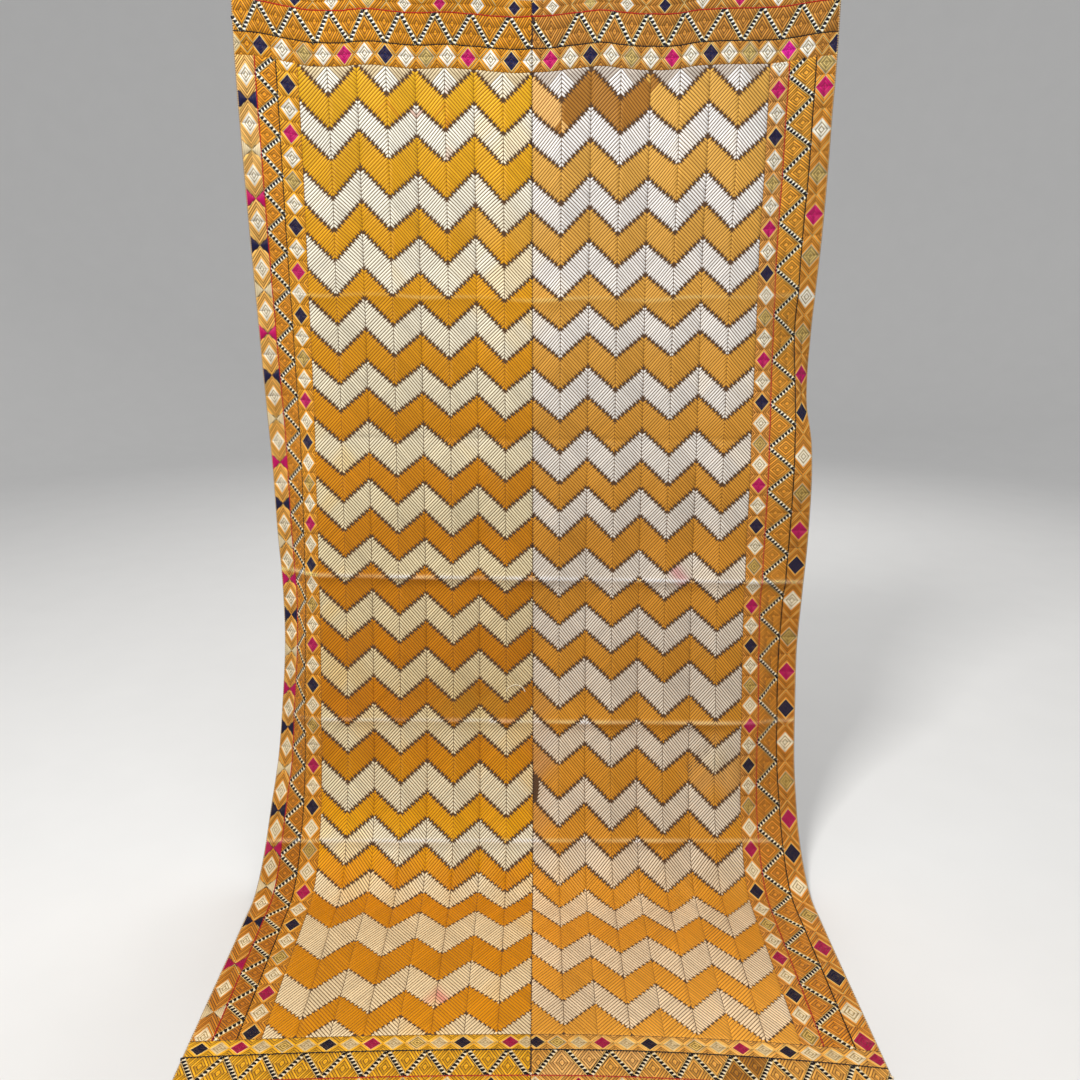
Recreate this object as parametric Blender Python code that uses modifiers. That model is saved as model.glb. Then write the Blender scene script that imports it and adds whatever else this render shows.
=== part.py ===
# A phulkari shawl of two joined widths. Six clips hold its top edge to a thin rod, it falls
# in one long curve to the floor, and its lower end lies forward there.
# Metres, +Z up. The face looks along -Y and +X is its right as seen. The origin is the
# middle of the rod, where the whole is held up.

import math

import bmesh
import bpy
import numpy as np

NAME = "phulkari_shawl"

# The flat cloth. Each width is its half of the field and three border bands.
CLOTH_LENGTH = 2.502
FIELD_LEFT = 0.4880
FIELD_RIGHT = 0.4935
LEFT_BANDS = {"inner": 0.0446, "zigzag": 0.0446, "outer": 0.0404}
RIGHT_BANDS = {"inner": 0.0400, "zigzag": 0.0560, "outer": 0.0425}
WALL = 0.0016
SEAM_GAP = 0.0003
CLEARANCE = 0.0003

# The long fall, a catenary that leaves the floor level and ends nearly upright.
HANG = 2.027
SWEEP = 0.102

# The rod and what hangs the cloth from it.
ROD_RADIUS = 0.006
ROD_LENGTH = 1.360
ROD_BOW = 0.030
ROD_POINTS = 17
HOLDER = 0.040
CLIP_WIDTH = 0.022
CLIP_WALL = 0.0016
STEM_RADIUS = 0.0019
CLIP_TALL = 0.030
GRIP = 0.010
RING_RADIUS = 0.0105
RING_WIRE = 0.0013
RING_PLAY = 0.0004
FLAT_AT_CLIP = 0.015

# Where the clips hold the top edge. Columns: place across from the seam, dip of the edge
# before the next clip, bulge of the cloth there towards the viewer.
HOLDS = (
    (-0.603, 0.017, 0.007),
    (-0.335, 0.008, 0.004),
    (-0.142, 0.012, 0.008),
    (0.136, 0.012, 0.006),
    (0.370, 0.008, 0.007),
    (0.621, 0.000, 0.000),
)
DROOP_ENDS = 1.25
BULGE_FADES = 0.16

# How the sides hang. Columns: distance below the top edge, how far the inner, zigzag and
# outer bands turn back from the flat, in degrees, and how far the field's edge is drawn in.
LEFT_SIDE = (
    (0.00, 0, 0, 0, 0.002),
    (0.05, 0, 0, 0, 0.002),
    (0.14, 0, 0, -4, 0.002),
    (0.35, 2, 10, -2, 0.002),
    (0.48, 8, 15, 2, 0.001),
    (0.61, 19, 17, 4, 0.000),
    (0.74, 23, 21, 8, 0.000),
    (0.88, 30, 28, 8, -0.001),
    (1.01, 36, 31, 16, -0.003),
    (1.15, 34, 39, 19, -0.004),
    (1.28, 34, 51, 19, -0.005),
    (1.42, 24, 57, 26, -0.006),
    (1.56, 18, 48, 28, -0.007),
    (1.70, 19, 34, 20, -0.007),
    (1.84, 10, 4, 14, -0.006),
    (1.96, 0, 0, 0, -0.006),
    (2.16, 0, 0, 0, -0.006),
    (2.50, 0, 0, 0, -0.003),
)
RIGHT_SIDE = (
    (0.00, 0, 0, 0, 0.000),
    (0.05, 0, 0, 0, 0.000),
    (0.16, 0, 0, 0, 0.000),
    (0.26, 8, -5, 5, 0.000),
    (0.35, 10, -4, 6, 0.000),
    (0.48, 10, 4, 0, 0.003),
    (0.61, 12, 12, 12, 0.003),
    (0.70, 9, 24, 16, 0.002),
    (0.79, 9, 8, 36, 0.002),
    (0.86, 4, -8, 43, 0.002),
    (0.95, -10, -16, 20, 0.002),
    (1.01, -13, -12, 10, 0.002),
    (1.15, -8, -3, 0, 0.004),
    (1.28, 7, 9, -8, 0.006),
    (1.42, 8, 26, -2, 0.006),
    (1.56, 2, 34, -8, 0.006),
    (1.70, 9, 23, 2, 0.008),
    (1.84, 12, 0, 10, 0.009),
    (1.96, 0, 0, 0, 0.009),
    (2.16, 0, 0, 0, 0.006),
    (2.50, 0, 0, 0, 0.002),
)
TURN_BEGINS = 0.025
TURN_STEPS = 24

# Creases left by folding it in eighths. Columns: distance below the top edge, how far the
# crease stands towards the viewer (less than nothing is a trough).
CREASES = (
    (0.614, 0.003),
    (0.929, -0.003),
    (1.255, 0.005),
    (1.591, -0.004),
)
CREASE_REACH = 0.07

# The lower end lies a little further forward at its two corners.
LEFT_CORNER_FORWARD = 0.020
RIGHT_CORNER_FORWARD = 0.045
FORWARD_BEGINS = 1.91

# How finely the cloth is drawn: the bend at the floor by its angle, the rest by distance.
BEND_STEP = 8.0
BEND_ENDS = 72.0
BULGE_ROW = 0.10
ROW_STEP = 0.050
COLUMN_STEP = 0.055
CLOSEST_COLUMNS = 0.006

LEFT_WIDTH = FIELD_LEFT + sum(LEFT_BANDS.values())
RIGHT_WIDTH = FIELD_RIGHT + sum(RIGHT_BANDS.values())


def through(table, column, at):
    """A smooth curve through one column of a table, read at the given places."""
    rows = np.array(table, float)
    places, values = rows[:, 0], rows[:, column]
    slopes = np.gradient(values, places)
    i = np.clip(np.searchsorted(places, at) - 1, 0, len(places) - 2)
    wide = places[i + 1] - places[i]
    t = np.clip((at - places[i]) / wide, 0, 1)
    from_first = (2 * t**3 - 3 * t**2 + 1) * values[i] + (t**3 - 2 * t**2 + t) * wide * slopes[i]
    from_next = (3 * t**2 - 2 * t**3) * values[i + 1] + (t**3 - t**2) * wide * slopes[i + 1]
    return from_first + from_next


def ease(t):
    """From 0 to 1 with no corner at either end."""
    t = np.clip(t, 0, 1)
    return t * t * (3 - 2 * t)


def rod_rise(across):
    """How far the bowed rod stands above its middle."""
    return ROD_BOW * (across / HOLDS[-1][0]) ** 2


def between_holds(across):
    """For each place across: the dip of the top edge and the cloth's bulge, both nothing
    where a clip holds it."""
    holds = np.array(HOLDS)
    places = holds[:, 0]
    i = np.clip(np.searchsorted(places, across) - 1, 0, len(places) - 2)
    first = places[i] + FLAT_AT_CLIP
    last = places[i + 1] - FLAT_AT_CLIP
    hump = np.sin(math.pi * np.clip((across - first) / (last - first), 0, 1)) ** 2
    return holds[i, 1] * hump, holds[i, 2] * hump


def fall(arc):
    """The side profile at a distance along the cloth above the line where it meets the floor:
    how far behind that line, how high, and the direction straight back from the face."""
    up = np.maximum(arc, 0)
    slant = np.sqrt(SWEEP**2 + up**2)
    behind = np.where(arc > 0, SWEEP * np.arcsinh(up / SWEEP), arc)
    high = slant - SWEEP
    return behind, high, up / slant, -SWEEP / slant


def turned(beyond, down, bands, table):
    """How far out and how far back a border point lies, where beyond is its distance
    outside the field's edge on the flat cloth."""
    inner, zigzag, outer = bands.values()
    middles = (
        -TURN_BEGINS,
        inner / 2,
        inner + zigzag / 2,
        inner + zigzag + outer / 2,
    )
    turns = [np.zeros_like(down)] + [np.radians(through(table, k, down)) for k in (1, 2, 3)]
    out = np.zeros_like(beyond)
    back = np.zeros_like(beyond)
    step = (beyond + TURN_BEGINS) / TURN_STEPS
    for n in range(TURN_STEPS):
        at = -TURN_BEGINS + (n + 0.5) * step
        turn = np.zeros_like(beyond)
        for first, last, low, high in zip(middles, middles[1:], turns, turns[1:]):
            share = ease((at - first) / (last - first))
            turn = np.where(at > first, low + (high - low) * share, turn)
        out += np.cos(turn) * step
        back += np.sin(turn) * step
    return out - TURN_BEGINS, back


def drape(across, down):
    """The middle of the wall, for points of the flat cloth: across from the seam and down
    from the top edge."""
    dip, bulge = between_holds(across)
    droop = (ROD_BOW - rod_rise(across) + dip) * (1 - ease(down / DROOP_ENDS))
    corner = np.where(
        across < 0,
        LEFT_CORNER_FORWARD * (across / LEFT_WIDTH) ** 2,
        RIGHT_CORNER_FORWARD * (across / RIGHT_WIDTH) ** 2,
    )
    forward = corner * ease((down - FORWARD_BEGINS) / (CLOTH_LENGTH - FORWARD_BEGINS))
    behind, high, back_y, back_z = fall(HANG - down - forward)

    left_out, left_back = turned(-across - FIELD_LEFT, down, LEFT_BANDS, LEFT_SIDE)
    right_out, right_back = turned(across - FIELD_RIGHT, down, RIGHT_BANDS, RIGHT_SIDE)
    on_left = across < TURN_BEGINS - FIELD_LEFT
    on_right = across > FIELD_RIGHT - TURN_BEGINS
    left_in = through(LEFT_SIDE, 4, down) * np.clip(-across / FIELD_LEFT, 0, 1)
    right_in = through(RIGHT_SIDE, 4, down) * np.clip(across / FIELD_RIGHT, 0, 1)
    x = np.where(on_left, -FIELD_LEFT - left_out, across)
    x = np.where(on_right, FIELD_RIGHT + right_out, x) + left_in - right_in
    back = np.where(on_left, left_back, 0) + np.where(on_right, right_back, 0)
    back -= bulge * np.exp(-down / BULGE_FADES)
    for place, height in CREASES:
        back -= height * np.clip(1 - np.abs(down - place) / CREASE_REACH, 0, 1)

    y = behind + back_y * back
    z = high + back_z * back - droop + WALL / 2
    return np.stack([x, y, z], axis=-1)


def clip_tilt():
    """How far the cloth leans from upright in the clips."""
    return -math.atan2(SWEEP, HANG - GRIP / 2)


def rod_place():
    """The middle of the rod, behind and above the line where the cloth meets the floor."""
    behind, high, _, _ = fall(np.array(HANG))
    ring_drop = RING_RADIUS - RING_WIRE - ROD_RADIUS - RING_PLAY
    tilt = clip_tilt()
    depth = float(behind) - HOLDER * math.sin(tilt)
    height = float(high) + WALL / 2 - ROD_BOW + HOLDER * math.cos(tilt) + ring_drop
    return depth, height, ring_drop


def spaced(stops, step):
    """The stops with even steps between them."""
    places = [stops[0]]
    for first, last in zip(stops, stops[1:]):
        count = max(1, round((last - first) / step))
        places += [first + (last - first) * k / count for k in range(1, count + 1)]
    return places


def row_places():
    """Where the rows of the wall's points lie down the cloth: at each crease, close
    together round the bend at the floor, and evenly elsewhere."""
    bends = np.radians(np.arange(0, BEND_ENDS + BEND_STEP / 2, BEND_STEP))
    bend_rows = [HANG - SWEEP * math.tan(b) for b in bends]
    stops = [0.0, 2 * GRIP, BULGE_ROW]
    for place, _ in CREASES:
        stops += [place - CREASE_REACH, place, place + CREASE_REACH]
    stops = [s for s in stops if s < min(bend_rows)]
    return spaced(stops + sorted(bend_rows) + [CLOTH_LENGTH], ROW_STEP)


def column_places(first, last):
    """Where the columns lie between two edges: flat at the clips, close in the borders."""
    stops = [first, last]
    for hold in HOLDS:
        stops += [hold[0] - FLAT_AT_CLIP, hold[0] + FLAT_AT_CLIP]
    for sign, field, bands in ((-1, FIELD_LEFT, LEFT_BANDS), (1, FIELD_RIGHT, RIGHT_BANDS)):
        reach = field - TURN_BEGINS
        stops.append(sign * reach)
        reach = field
        for band in bands.values():
            stops += [sign * reach, sign * (reach + band / 2)]
            reach += band
    kept = []
    for stop in sorted(s for s in stops if first <= s <= last):
        if not kept or stop - kept[-1] > CLOSEST_COLUMNS:
            kept.append(stop)
    kept[-1] = last
    return spaced(kept, COLUMN_STEP)


def painted(name, colour, roughness, metallic=0.0):
    material = bpy.data.materials.new(name)
    material.use_nodes = True
    shader = material.node_tree.nodes["Principled BSDF"]
    shader.inputs["Base Color"].default_value = (*colour, 1)
    shader.inputs["Roughness"].default_value = roughness
    shader.inputs["Metallic"].default_value = metallic
    return material


def cloth_panel(name, first, last, height, depth, material, parts):
    """One width of the shawl: an open sheet on the draped form, given the wall's
    thickness to both sides."""
    columns = column_places(first, last)
    rows = row_places()
    across, down = np.meshgrid(columns, rows)
    points = drape(across.ravel(), down.ravel()) - (0, depth, height)
    wide = len(columns)
    faces = [
        (r * wide + c, (r + 1) * wide + c, (r + 1) * wide + c + 1, r * wide + c + 1)
        for r in range(len(rows) - 1)
        for c in range(wide - 1)
    ]
    mesh = bpy.data.meshes.new(name)
    mesh.from_pydata(points.tolist(), [], faces)
    mesh.materials.append(material)
    mesh.shade_smooth()
    panel = bpy.data.objects.new(name, mesh)
    parts.objects.link(panel)
    wall = panel.modifiers.new("wall", "SOLIDIFY")
    wall.thickness = WALL
    wall.offset = 0
    wall.use_even_offset = True
    return panel


def bowed_rod(material, parts):
    """A plain rod that the weight has bowed, highest at its ends."""
    curve = bpy.data.curves.new("rod", "CURVE")
    curve.dimensions = "3D"
    curve.bevel_depth = ROD_RADIUS
    curve.bevel_resolution = 3
    curve.use_fill_caps = True
    line = curve.splines.new("POLY")
    line.points.add(ROD_POINTS - 1)
    for n, point in enumerate(line.points):
        x = ROD_LENGTH * (n / (ROD_POINTS - 1) - 0.5)
        point.co = (x, 0, rod_rise(x), 1)
    curve.materials.append(material)
    rod = bpy.data.objects.new("rod", curve)
    parts.objects.link(rod)
    return rod


def joined(base, extras, cutters):
    """The base with the extras joined on by Booleans, as one mesh."""
    for extra in extras:
        cutters.objects.link(extra)
        extra.hide_render = True
        extra.display_type = "WIRE"
        join = base.modifiers.new(extra.name, "BOOLEAN")
        join.operation = "UNION"
        join.object = extra
    evaluated = base.evaluated_get(bpy.context.evaluated_depsgraph_get())
    return bpy.data.meshes.new_from_object(evaluated)


def clip_mesh(material, cutters):
    """A wire ring for the rod, a stem, and a folded steel clip. The origin is the ring's
    centre, and the slot for the cloth stands open downwards."""
    slot = WALL / 2 + CLEARANCE
    outside = slot + CLIP_WALL
    foot = -HOLDER - GRIP
    head = foot + CLIP_TALL
    shoulder = head - 2 * CLIP_WALL
    outline = (
        (-outside, foot),
        (-slot, foot),
        (-slot, shoulder - CLIP_WALL),
        (slot, shoulder - CLIP_WALL),
        (slot, foot),
        (outside, foot),
        (outside, shoulder),
        (slot, head),
        (-slot, head),
        (-outside, shoulder),
    )
    shape = bmesh.new()
    corners = [shape.verts.new((-CLIP_WIDTH / 2, y, z)) for y, z in outline]
    pulled = bmesh.ops.extrude_face_region(shape, geom=[shape.faces.new(corners)])
    moved = [v for v in pulled["geom"] if isinstance(v, bmesh.types.BMVert)]
    bmesh.ops.translate(shape, verts=moved, vec=(CLIP_WIDTH, 0, 0))
    bmesh.ops.recalc_face_normals(shape, faces=shape.faces)
    mesh = bpy.data.meshes.new("jaws")
    shape.to_mesh(mesh)
    shape.free()
    mesh.materials.append(material)
    jaws = bpy.data.objects.new("jaws", mesh)
    cutters.objects.link(jaws)

    bpy.ops.mesh.primitive_torus_add(
        major_radius=RING_RADIUS,
        minor_radius=RING_WIRE,
        major_segments=20,
        minor_segments=8,
        rotation=(0, math.pi / 2, 0),
    )
    ring = bpy.context.object
    ring.name = "ring"
    top = -RING_RADIUS
    bottom = head - CLIP_WALL
    bpy.ops.mesh.primitive_cylinder_add(
        vertices=12,
        radius=STEM_RADIUS,
        depth=top - bottom,
        location=(0, 0, (top + bottom) / 2),
    )
    stem = bpy.context.object
    stem.name = "stem"
    for extra in (ring, stem):
        for collection in extra.users_collection:
            collection.objects.unlink(extra)
    return joined(jaws, (stem, ring), cutters)


def main():
    for thing in list(bpy.data.objects):
        bpy.data.objects.remove(thing, do_unlink=True)
    scene = bpy.context.scene
    scene.unit_settings.system = "METRIC"
    parts = bpy.data.collections.new(NAME)
    cutters = bpy.data.collections.new("cutters")
    scene.collection.children.link(parts)
    scene.collection.children.link(cutters)

    depth, height, ring_drop = rod_place()
    left_cloth = painted("left_cloth", (0.62, 0.34, 0.07), 0.75)
    right_cloth = painted("right_cloth", (0.58, 0.33, 0.10), 0.75)
    dark_paint = painted("rod_paint", (0.03, 0.03, 0.035), 0.4)
    clip_steel = painted("clip_steel", (0.05, 0.05, 0.055), 0.35, 0.8)

    edge = SEAM_GAP / 2
    cloth_panel("panel_left", -LEFT_WIDTH, -edge, height, depth, left_cloth, parts)
    cloth_panel("panel_right", edge, RIGHT_WIDTH, height, depth, right_cloth, parts)
    bowed_rod(dark_paint, parts)

    shared = clip_mesh(clip_steel, cutters)
    for n, hold in enumerate(HOLDS):
        clip = bpy.data.objects.new(f"clip_{n + 1}", shared)
        parts.objects.link(clip)
        clip.rotation_euler = (clip_tilt(), 0, 0)
        clip.location = (hold[0], 0, rod_rise(hold[0]) - ring_drop)
    bpy.data.objects.remove(cutters.objects["jaws"], do_unlink=True)


main()
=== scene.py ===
import math

import bpy
import numpy as np
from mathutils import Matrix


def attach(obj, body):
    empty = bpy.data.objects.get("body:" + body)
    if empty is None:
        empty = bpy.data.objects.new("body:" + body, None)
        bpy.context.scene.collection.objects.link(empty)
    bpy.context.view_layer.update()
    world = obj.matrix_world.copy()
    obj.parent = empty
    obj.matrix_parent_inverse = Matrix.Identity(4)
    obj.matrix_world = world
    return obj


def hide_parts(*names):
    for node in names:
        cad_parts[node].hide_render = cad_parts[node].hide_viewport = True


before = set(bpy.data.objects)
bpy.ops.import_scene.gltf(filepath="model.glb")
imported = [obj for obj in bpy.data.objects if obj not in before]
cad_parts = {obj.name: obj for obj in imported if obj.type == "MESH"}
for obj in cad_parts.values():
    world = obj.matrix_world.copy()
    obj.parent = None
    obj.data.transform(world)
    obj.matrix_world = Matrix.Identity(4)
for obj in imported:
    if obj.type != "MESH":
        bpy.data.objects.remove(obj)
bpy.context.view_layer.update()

dice = np.random.default_rng(41)

# The flat cloth, in metres. Across runs from the centre seam, left is less than nothing, and
# down runs from the top edge.
cloth = {
    "length": 2.502,
    "fieldLeft": 0.4880,
    "fieldRight": 0.4935,
    "leftBands": (0.0446, 0.0446, 0.0404),
    "rightBands": (0.0400, 0.0560, 0.0425),
    "wall": 0.0016,
    "seamGap": 0.0003,
    "fieldTop": 0.141,
    "fieldBottom": 2.376,
}
leftWidth = cloth["fieldLeft"] + sum(cloth["leftBands"])
rightWidth = cloth["fieldRight"] + sum(cloth["rightBands"])

# How it hangs: the same fall, droops and turned sides as the solid model has.
hanging = {
    "hang": 2.027,
    "sweep": 0.102,
    "bow": 0.030,
    "holder": 0.040,
    "grip": 0.010,
    "ringDrop": 0.0028,
    "flatAtClip": 0.015,
    "droopEnds": 1.25,
    "bulgeFades": 0.16,
    "turnBegins": 0.025,
    "turnSteps": 24,
    "leftCornerForward": 0.020,
    "rightCornerForward": 0.045,
    "forwardBegins": 1.91,
    # place across, dip before the next clip, bulge there
    "holds": (
        (-0.603, 0.017, 0.007),
        (-0.335, 0.008, 0.004),
        (-0.142, 0.012, 0.008),
        (0.136, 0.012, 0.006),
        (0.370, 0.008, 0.007),
        (0.621, 0.000, 0.000),
    ),
    # down, then how far the inner, zigzag and outer bands turn back in degrees, and how far
    # the field's edge is drawn in
    "leftSide": (
        (0.00, 0, 0, 0, 0.002),
        (0.05, 0, 0, 0, 0.002),
        (0.14, 0, 0, -4, 0.002),
        (0.35, 2, 10, -2, 0.002),
        (0.48, 8, 15, 2, 0.001),
        (0.61, 19, 17, 4, 0.000),
        (0.74, 23, 21, 8, 0.000),
        (0.88, 30, 28, 8, -0.001),
        (1.01, 36, 31, 16, -0.003),
        (1.15, 34, 39, 19, -0.004),
        (1.28, 34, 51, 19, -0.005),
        (1.42, 24, 57, 26, -0.006),
        (1.56, 18, 48, 28, -0.007),
        (1.70, 19, 34, 20, -0.007),
        (1.84, 10, 4, 14, -0.006),
        (1.96, 0, 0, 0, -0.006),
        (2.16, 0, 0, 0, -0.006),
        (2.50, 0, 0, 0, -0.003),
    ),
    "rightSide": (
        (0.00, 0, 0, 0, 0.000),
        (0.05, 0, 0, 0, 0.000),
        (0.16, 0, 0, 0, 0.000),
        (0.26, 8, -5, 5, 0.000),
        (0.35, 10, -4, 6, 0.000),
        (0.48, 10, 4, 0, 0.003),
        (0.61, 12, 12, 12, 0.003),
        (0.70, 9, 24, 16, 0.002),
        (0.79, 9, 8, 36, 0.002),
        (0.86, 4, -8, 43, 0.002),
        (0.95, -10, -16, 20, 0.002),
        (1.01, -13, -12, 10, 0.002),
        (1.15, -8, -3, 0, 0.004),
        (1.28, 7, 9, -8, 0.006),
        (1.42, 8, 26, -2, 0.006),
        (1.56, 2, 34, -8, 0.006),
        (1.70, 9, 23, 2, 0.008),
        (1.84, 12, 0, 10, 0.009),
        (1.96, 0, 0, 0, 0.009),
        (2.16, 0, 0, 0, 0.006),
        (2.50, 0, 0, 0, 0.002),
    ),
}

# Creases from years of folding. Each is a soft swell with a sharper fold on its top, and has its
# place down at the seam, how much lower it lies at the right edge, where it begins and ends
# across, how far the swell and the fold stand forward (less than nothing is a trough), and how
# wide the swell is above and below.
creases = (
    {"down": 0.614, "lean": 0.006, "from": -0.62, "to": 0.63, "stands": 0.0030, "fold": 0.0008,
     "above": 0.042, "below": 0.024},
    {"down": 0.929, "lean": 0.004, "from": -0.60, "to": 0.63, "stands": -0.0030, "fold": -0.0008,
     "above": 0.032, "below": 0.045},
    {"down": 1.255, "lean": 0.010, "from": -0.62, "to": 0.63, "stands": 0.0056, "fold": 0.0026,
     "above": 0.050, "below": 0.022},
    {"down": 1.591, "lean": 0.004, "from": -0.62, "to": -0.02, "stands": 0.0034, "fold": 0.0014,
     "above": 0.032, "below": 0.020},
    {"down": 1.593, "lean": 0.004, "from": -0.10, "to": 0.63, "stands": 0.0060, "fold": 0.0024,
     "above": 0.040, "below": 0.021},
    {"down": 1.868, "lean": 0.000, "from": -0.62, "to": 0.56, "stands": 0.0034, "fold": 0.0018,
     "above": 0.034, "below": 0.018},
)
foldHalf = 0.0060

# Short slanting folds and bulges between them: the middle across and down, how long and how
# wide, how far it stands forward, and how it lies in degrees, nothing being level.
ripples = (
    {"across": 0.440, "down": 1.665, "long": 0.130, "wide": 0.026, "stands": 0.0070, "lies": 52},
    {"across": 0.385, "down": 1.695, "long": 0.110, "wide": 0.022, "stands": -0.0044, "lies": 40},
    {"across": 0.480, "down": 1.725, "long": 0.090, "wide": 0.022, "stands": 0.0044, "lies": 66},
    {"across": -0.340, "down": 1.440, "long": 0.260, "wide": 0.040, "stands": 0.0050, "lies": 80},
    {"across": -0.120, "down": 1.130, "long": 0.300, "wide": 0.042, "stands": 0.0046, "lies": 86},
    {"across": 0.230, "down": 1.020, "long": 0.280, "wide": 0.040, "stands": -0.0046, "lies": 84},
    {"across": 0.300, "down": 0.420, "long": 0.260, "wide": 0.046, "stands": 0.0044, "lies": 78},
    {"across": -0.250, "down": 0.380, "long": 0.280, "wide": 0.044, "stands": -0.0042, "lies": 95},
    {"across": 0.120, "down": 1.440, "long": 0.200, "wide": 0.036, "stands": 0.0048, "lies": 100},
    {"across": -0.430, "down": 2.080, "long": 0.170, "wide": 0.034, "stands": 0.0048, "lies": 118},
    {"across": 0.330, "down": 2.100, "long": 0.200, "wide": 0.036, "stands": 0.0050, "lies": 62},
)


def ease(t):
    t = np.clip(t, 0, 1)
    return t * t * (3 - 2 * t)


def through(table, column, at):
    rows = np.array(table, float)
    places, values = rows[:, 0], rows[:, column]
    slopes = np.gradient(values, places)
    i = np.clip(np.searchsorted(places, at) - 1, 0, len(places) - 2)
    wide = places[i + 1] - places[i]
    t = np.clip((at - places[i]) / wide, 0, 1)
    fromFirst = (2 * t**3 - 3 * t**2 + 1) * values[i] + (t**3 - 2 * t**2 + t) * wide * slopes[i]
    fromNext = (3 * t**2 - 2 * t**3) * values[i + 1] + (t**3 - t**2) * wide * slopes[i + 1]
    return fromFirst + fromNext


def betweenHolds(across):
    holds = np.array(hanging["holds"])
    places = holds[:, 0]
    i = np.clip(np.searchsorted(places, across) - 1, 0, len(places) - 2)
    first = places[i] + hanging["flatAtClip"]
    last = places[i + 1] - hanging["flatAtClip"]
    hump = np.sin(math.pi * np.clip((across - first) / (last - first), 0, 1)) ** 2
    return holds[i, 1] * hump, holds[i, 2] * hump


def fall(arc):
    sweep = hanging["sweep"]
    up = np.maximum(arc, 0)
    slant = np.sqrt(sweep**2 + up**2)
    behind = np.where(arc > 0, sweep * np.arcsinh(up / sweep), arc)
    return behind, slant - sweep, up / slant, -sweep / slant


def turned(beyond, down, bands, table):
    begins = hanging["turnBegins"]
    inner, zigzag, outer = bands
    middles = (-begins, inner / 2, inner + zigzag / 2, inner + zigzag + outer / 2)
    turns = [np.zeros_like(down)] + [np.radians(through(table, k, down)) for k in (1, 2, 3)]
    out = np.zeros_like(beyond)
    back = np.zeros_like(beyond)
    step = (beyond + begins) / hanging["turnSteps"]
    for n in range(hanging["turnSteps"]):
        at = -begins + (n + 0.5) * step
        turn = np.zeros_like(beyond)
        for first, last, low, high in zip(middles, middles[1:], turns, turns[1:]):
            share = ease((at - first) / (last - first))
            turn = np.where(at > first, low + (high - low) * share, turn)
        out += np.cos(turn) * step
        back += np.sin(turn) * step
    return out - begins, back


def creased(across, down):
    # how far the creases bring each point forward
    forward = np.zeros_like(down)
    for c in creases:
        off = down - c["down"] - c["lean"] * across / rightWidth
        slope = np.where(off < 0, off / c["above"], off / c["below"])
        ridge = np.exp(-1.3 * slope**2)
        ends = ease((across - c["from"]) / 0.05) * ease((c["to"] - across) / 0.05)
        uneven = 1 + 0.3 * np.sin(across * 9.1 + c["down"] * 23) + 0.2 * np.sin(across * 23 + c["down"] * 11)
        fold = np.exp(-((off / foldHalf) ** 2))
        forward += (c["stands"] * ridge + c["fold"] * fold) * ends * uneven
    for r in ripples:
        lie = math.radians(r["lies"])
        a, d = across - r["across"], down - r["down"]
        along = a * math.cos(lie) - d * math.sin(lie)
        over = a * math.sin(lie) + d * math.cos(lie)
        forward += r["stands"] * np.exp(-((2 * along / r["long"]) ** 2) - (over / r["wide"]) ** 2)
    return forward


def drape(across, down):
    h = hanging
    dip, bulge = betweenHolds(across)
    rise = h["bow"] * (across / h["holds"][-1][0]) ** 2
    droop = (h["bow"] - rise + dip) * (1 - ease(down / h["droopEnds"]))
    corner = np.where(
        across < 0,
        h["leftCornerForward"] * (across / leftWidth) ** 2,
        h["rightCornerForward"] * (across / rightWidth) ** 2,
    )
    forward = corner * ease((down - h["forwardBegins"]) / (cloth["length"] - h["forwardBegins"]))
    behind, high, backY, backZ = fall(h["hang"] - down - forward)

    leftOut, leftBack = turned(-across - cloth["fieldLeft"], down, cloth["leftBands"], h["leftSide"])
    rightOut, rightBack = turned(across - cloth["fieldRight"], down, cloth["rightBands"], h["rightSide"])
    onLeft = across < h["turnBegins"] - cloth["fieldLeft"]
    onRight = across > cloth["fieldRight"] - h["turnBegins"]
    leftIn = through(h["leftSide"], 4, down) * np.clip(-across / cloth["fieldLeft"], 0, 1)
    rightIn = through(h["rightSide"], 4, down) * np.clip(across / cloth["fieldRight"], 0, 1)
    x = np.where(onLeft, -cloth["fieldLeft"] - leftOut, across)
    x = np.where(onRight, cloth["fieldRight"] + rightOut, x) + leftIn - rightIn
    back = np.where(onLeft, leftBack, 0) + np.where(onRight, rightBack, 0)
    back -= bulge * np.exp(-down / h["bulgeFades"])
    back -= creased(across, down)

    y = behind + backY * back
    z = high + backZ * back - droop + cloth["wall"] / 2
    return np.stack([x, y, z], axis=-1)


def rodPlace():
    h = hanging
    behind, high, _, _ = fall(np.array(h["hang"]))
    tilt = -math.atan2(h["sweep"], h["hang"] - h["grip"] / 2)
    depth = float(behind) - h["holder"] * math.sin(tilt)
    height = float(high) + cloth["wall"] / 2 - h["bow"] + h["holder"] * math.cos(tilt) + h["ringDrop"]
    return depth, height


rodDepth, rodHeight = rodPlace()
floorHeight = -rodHeight


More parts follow.
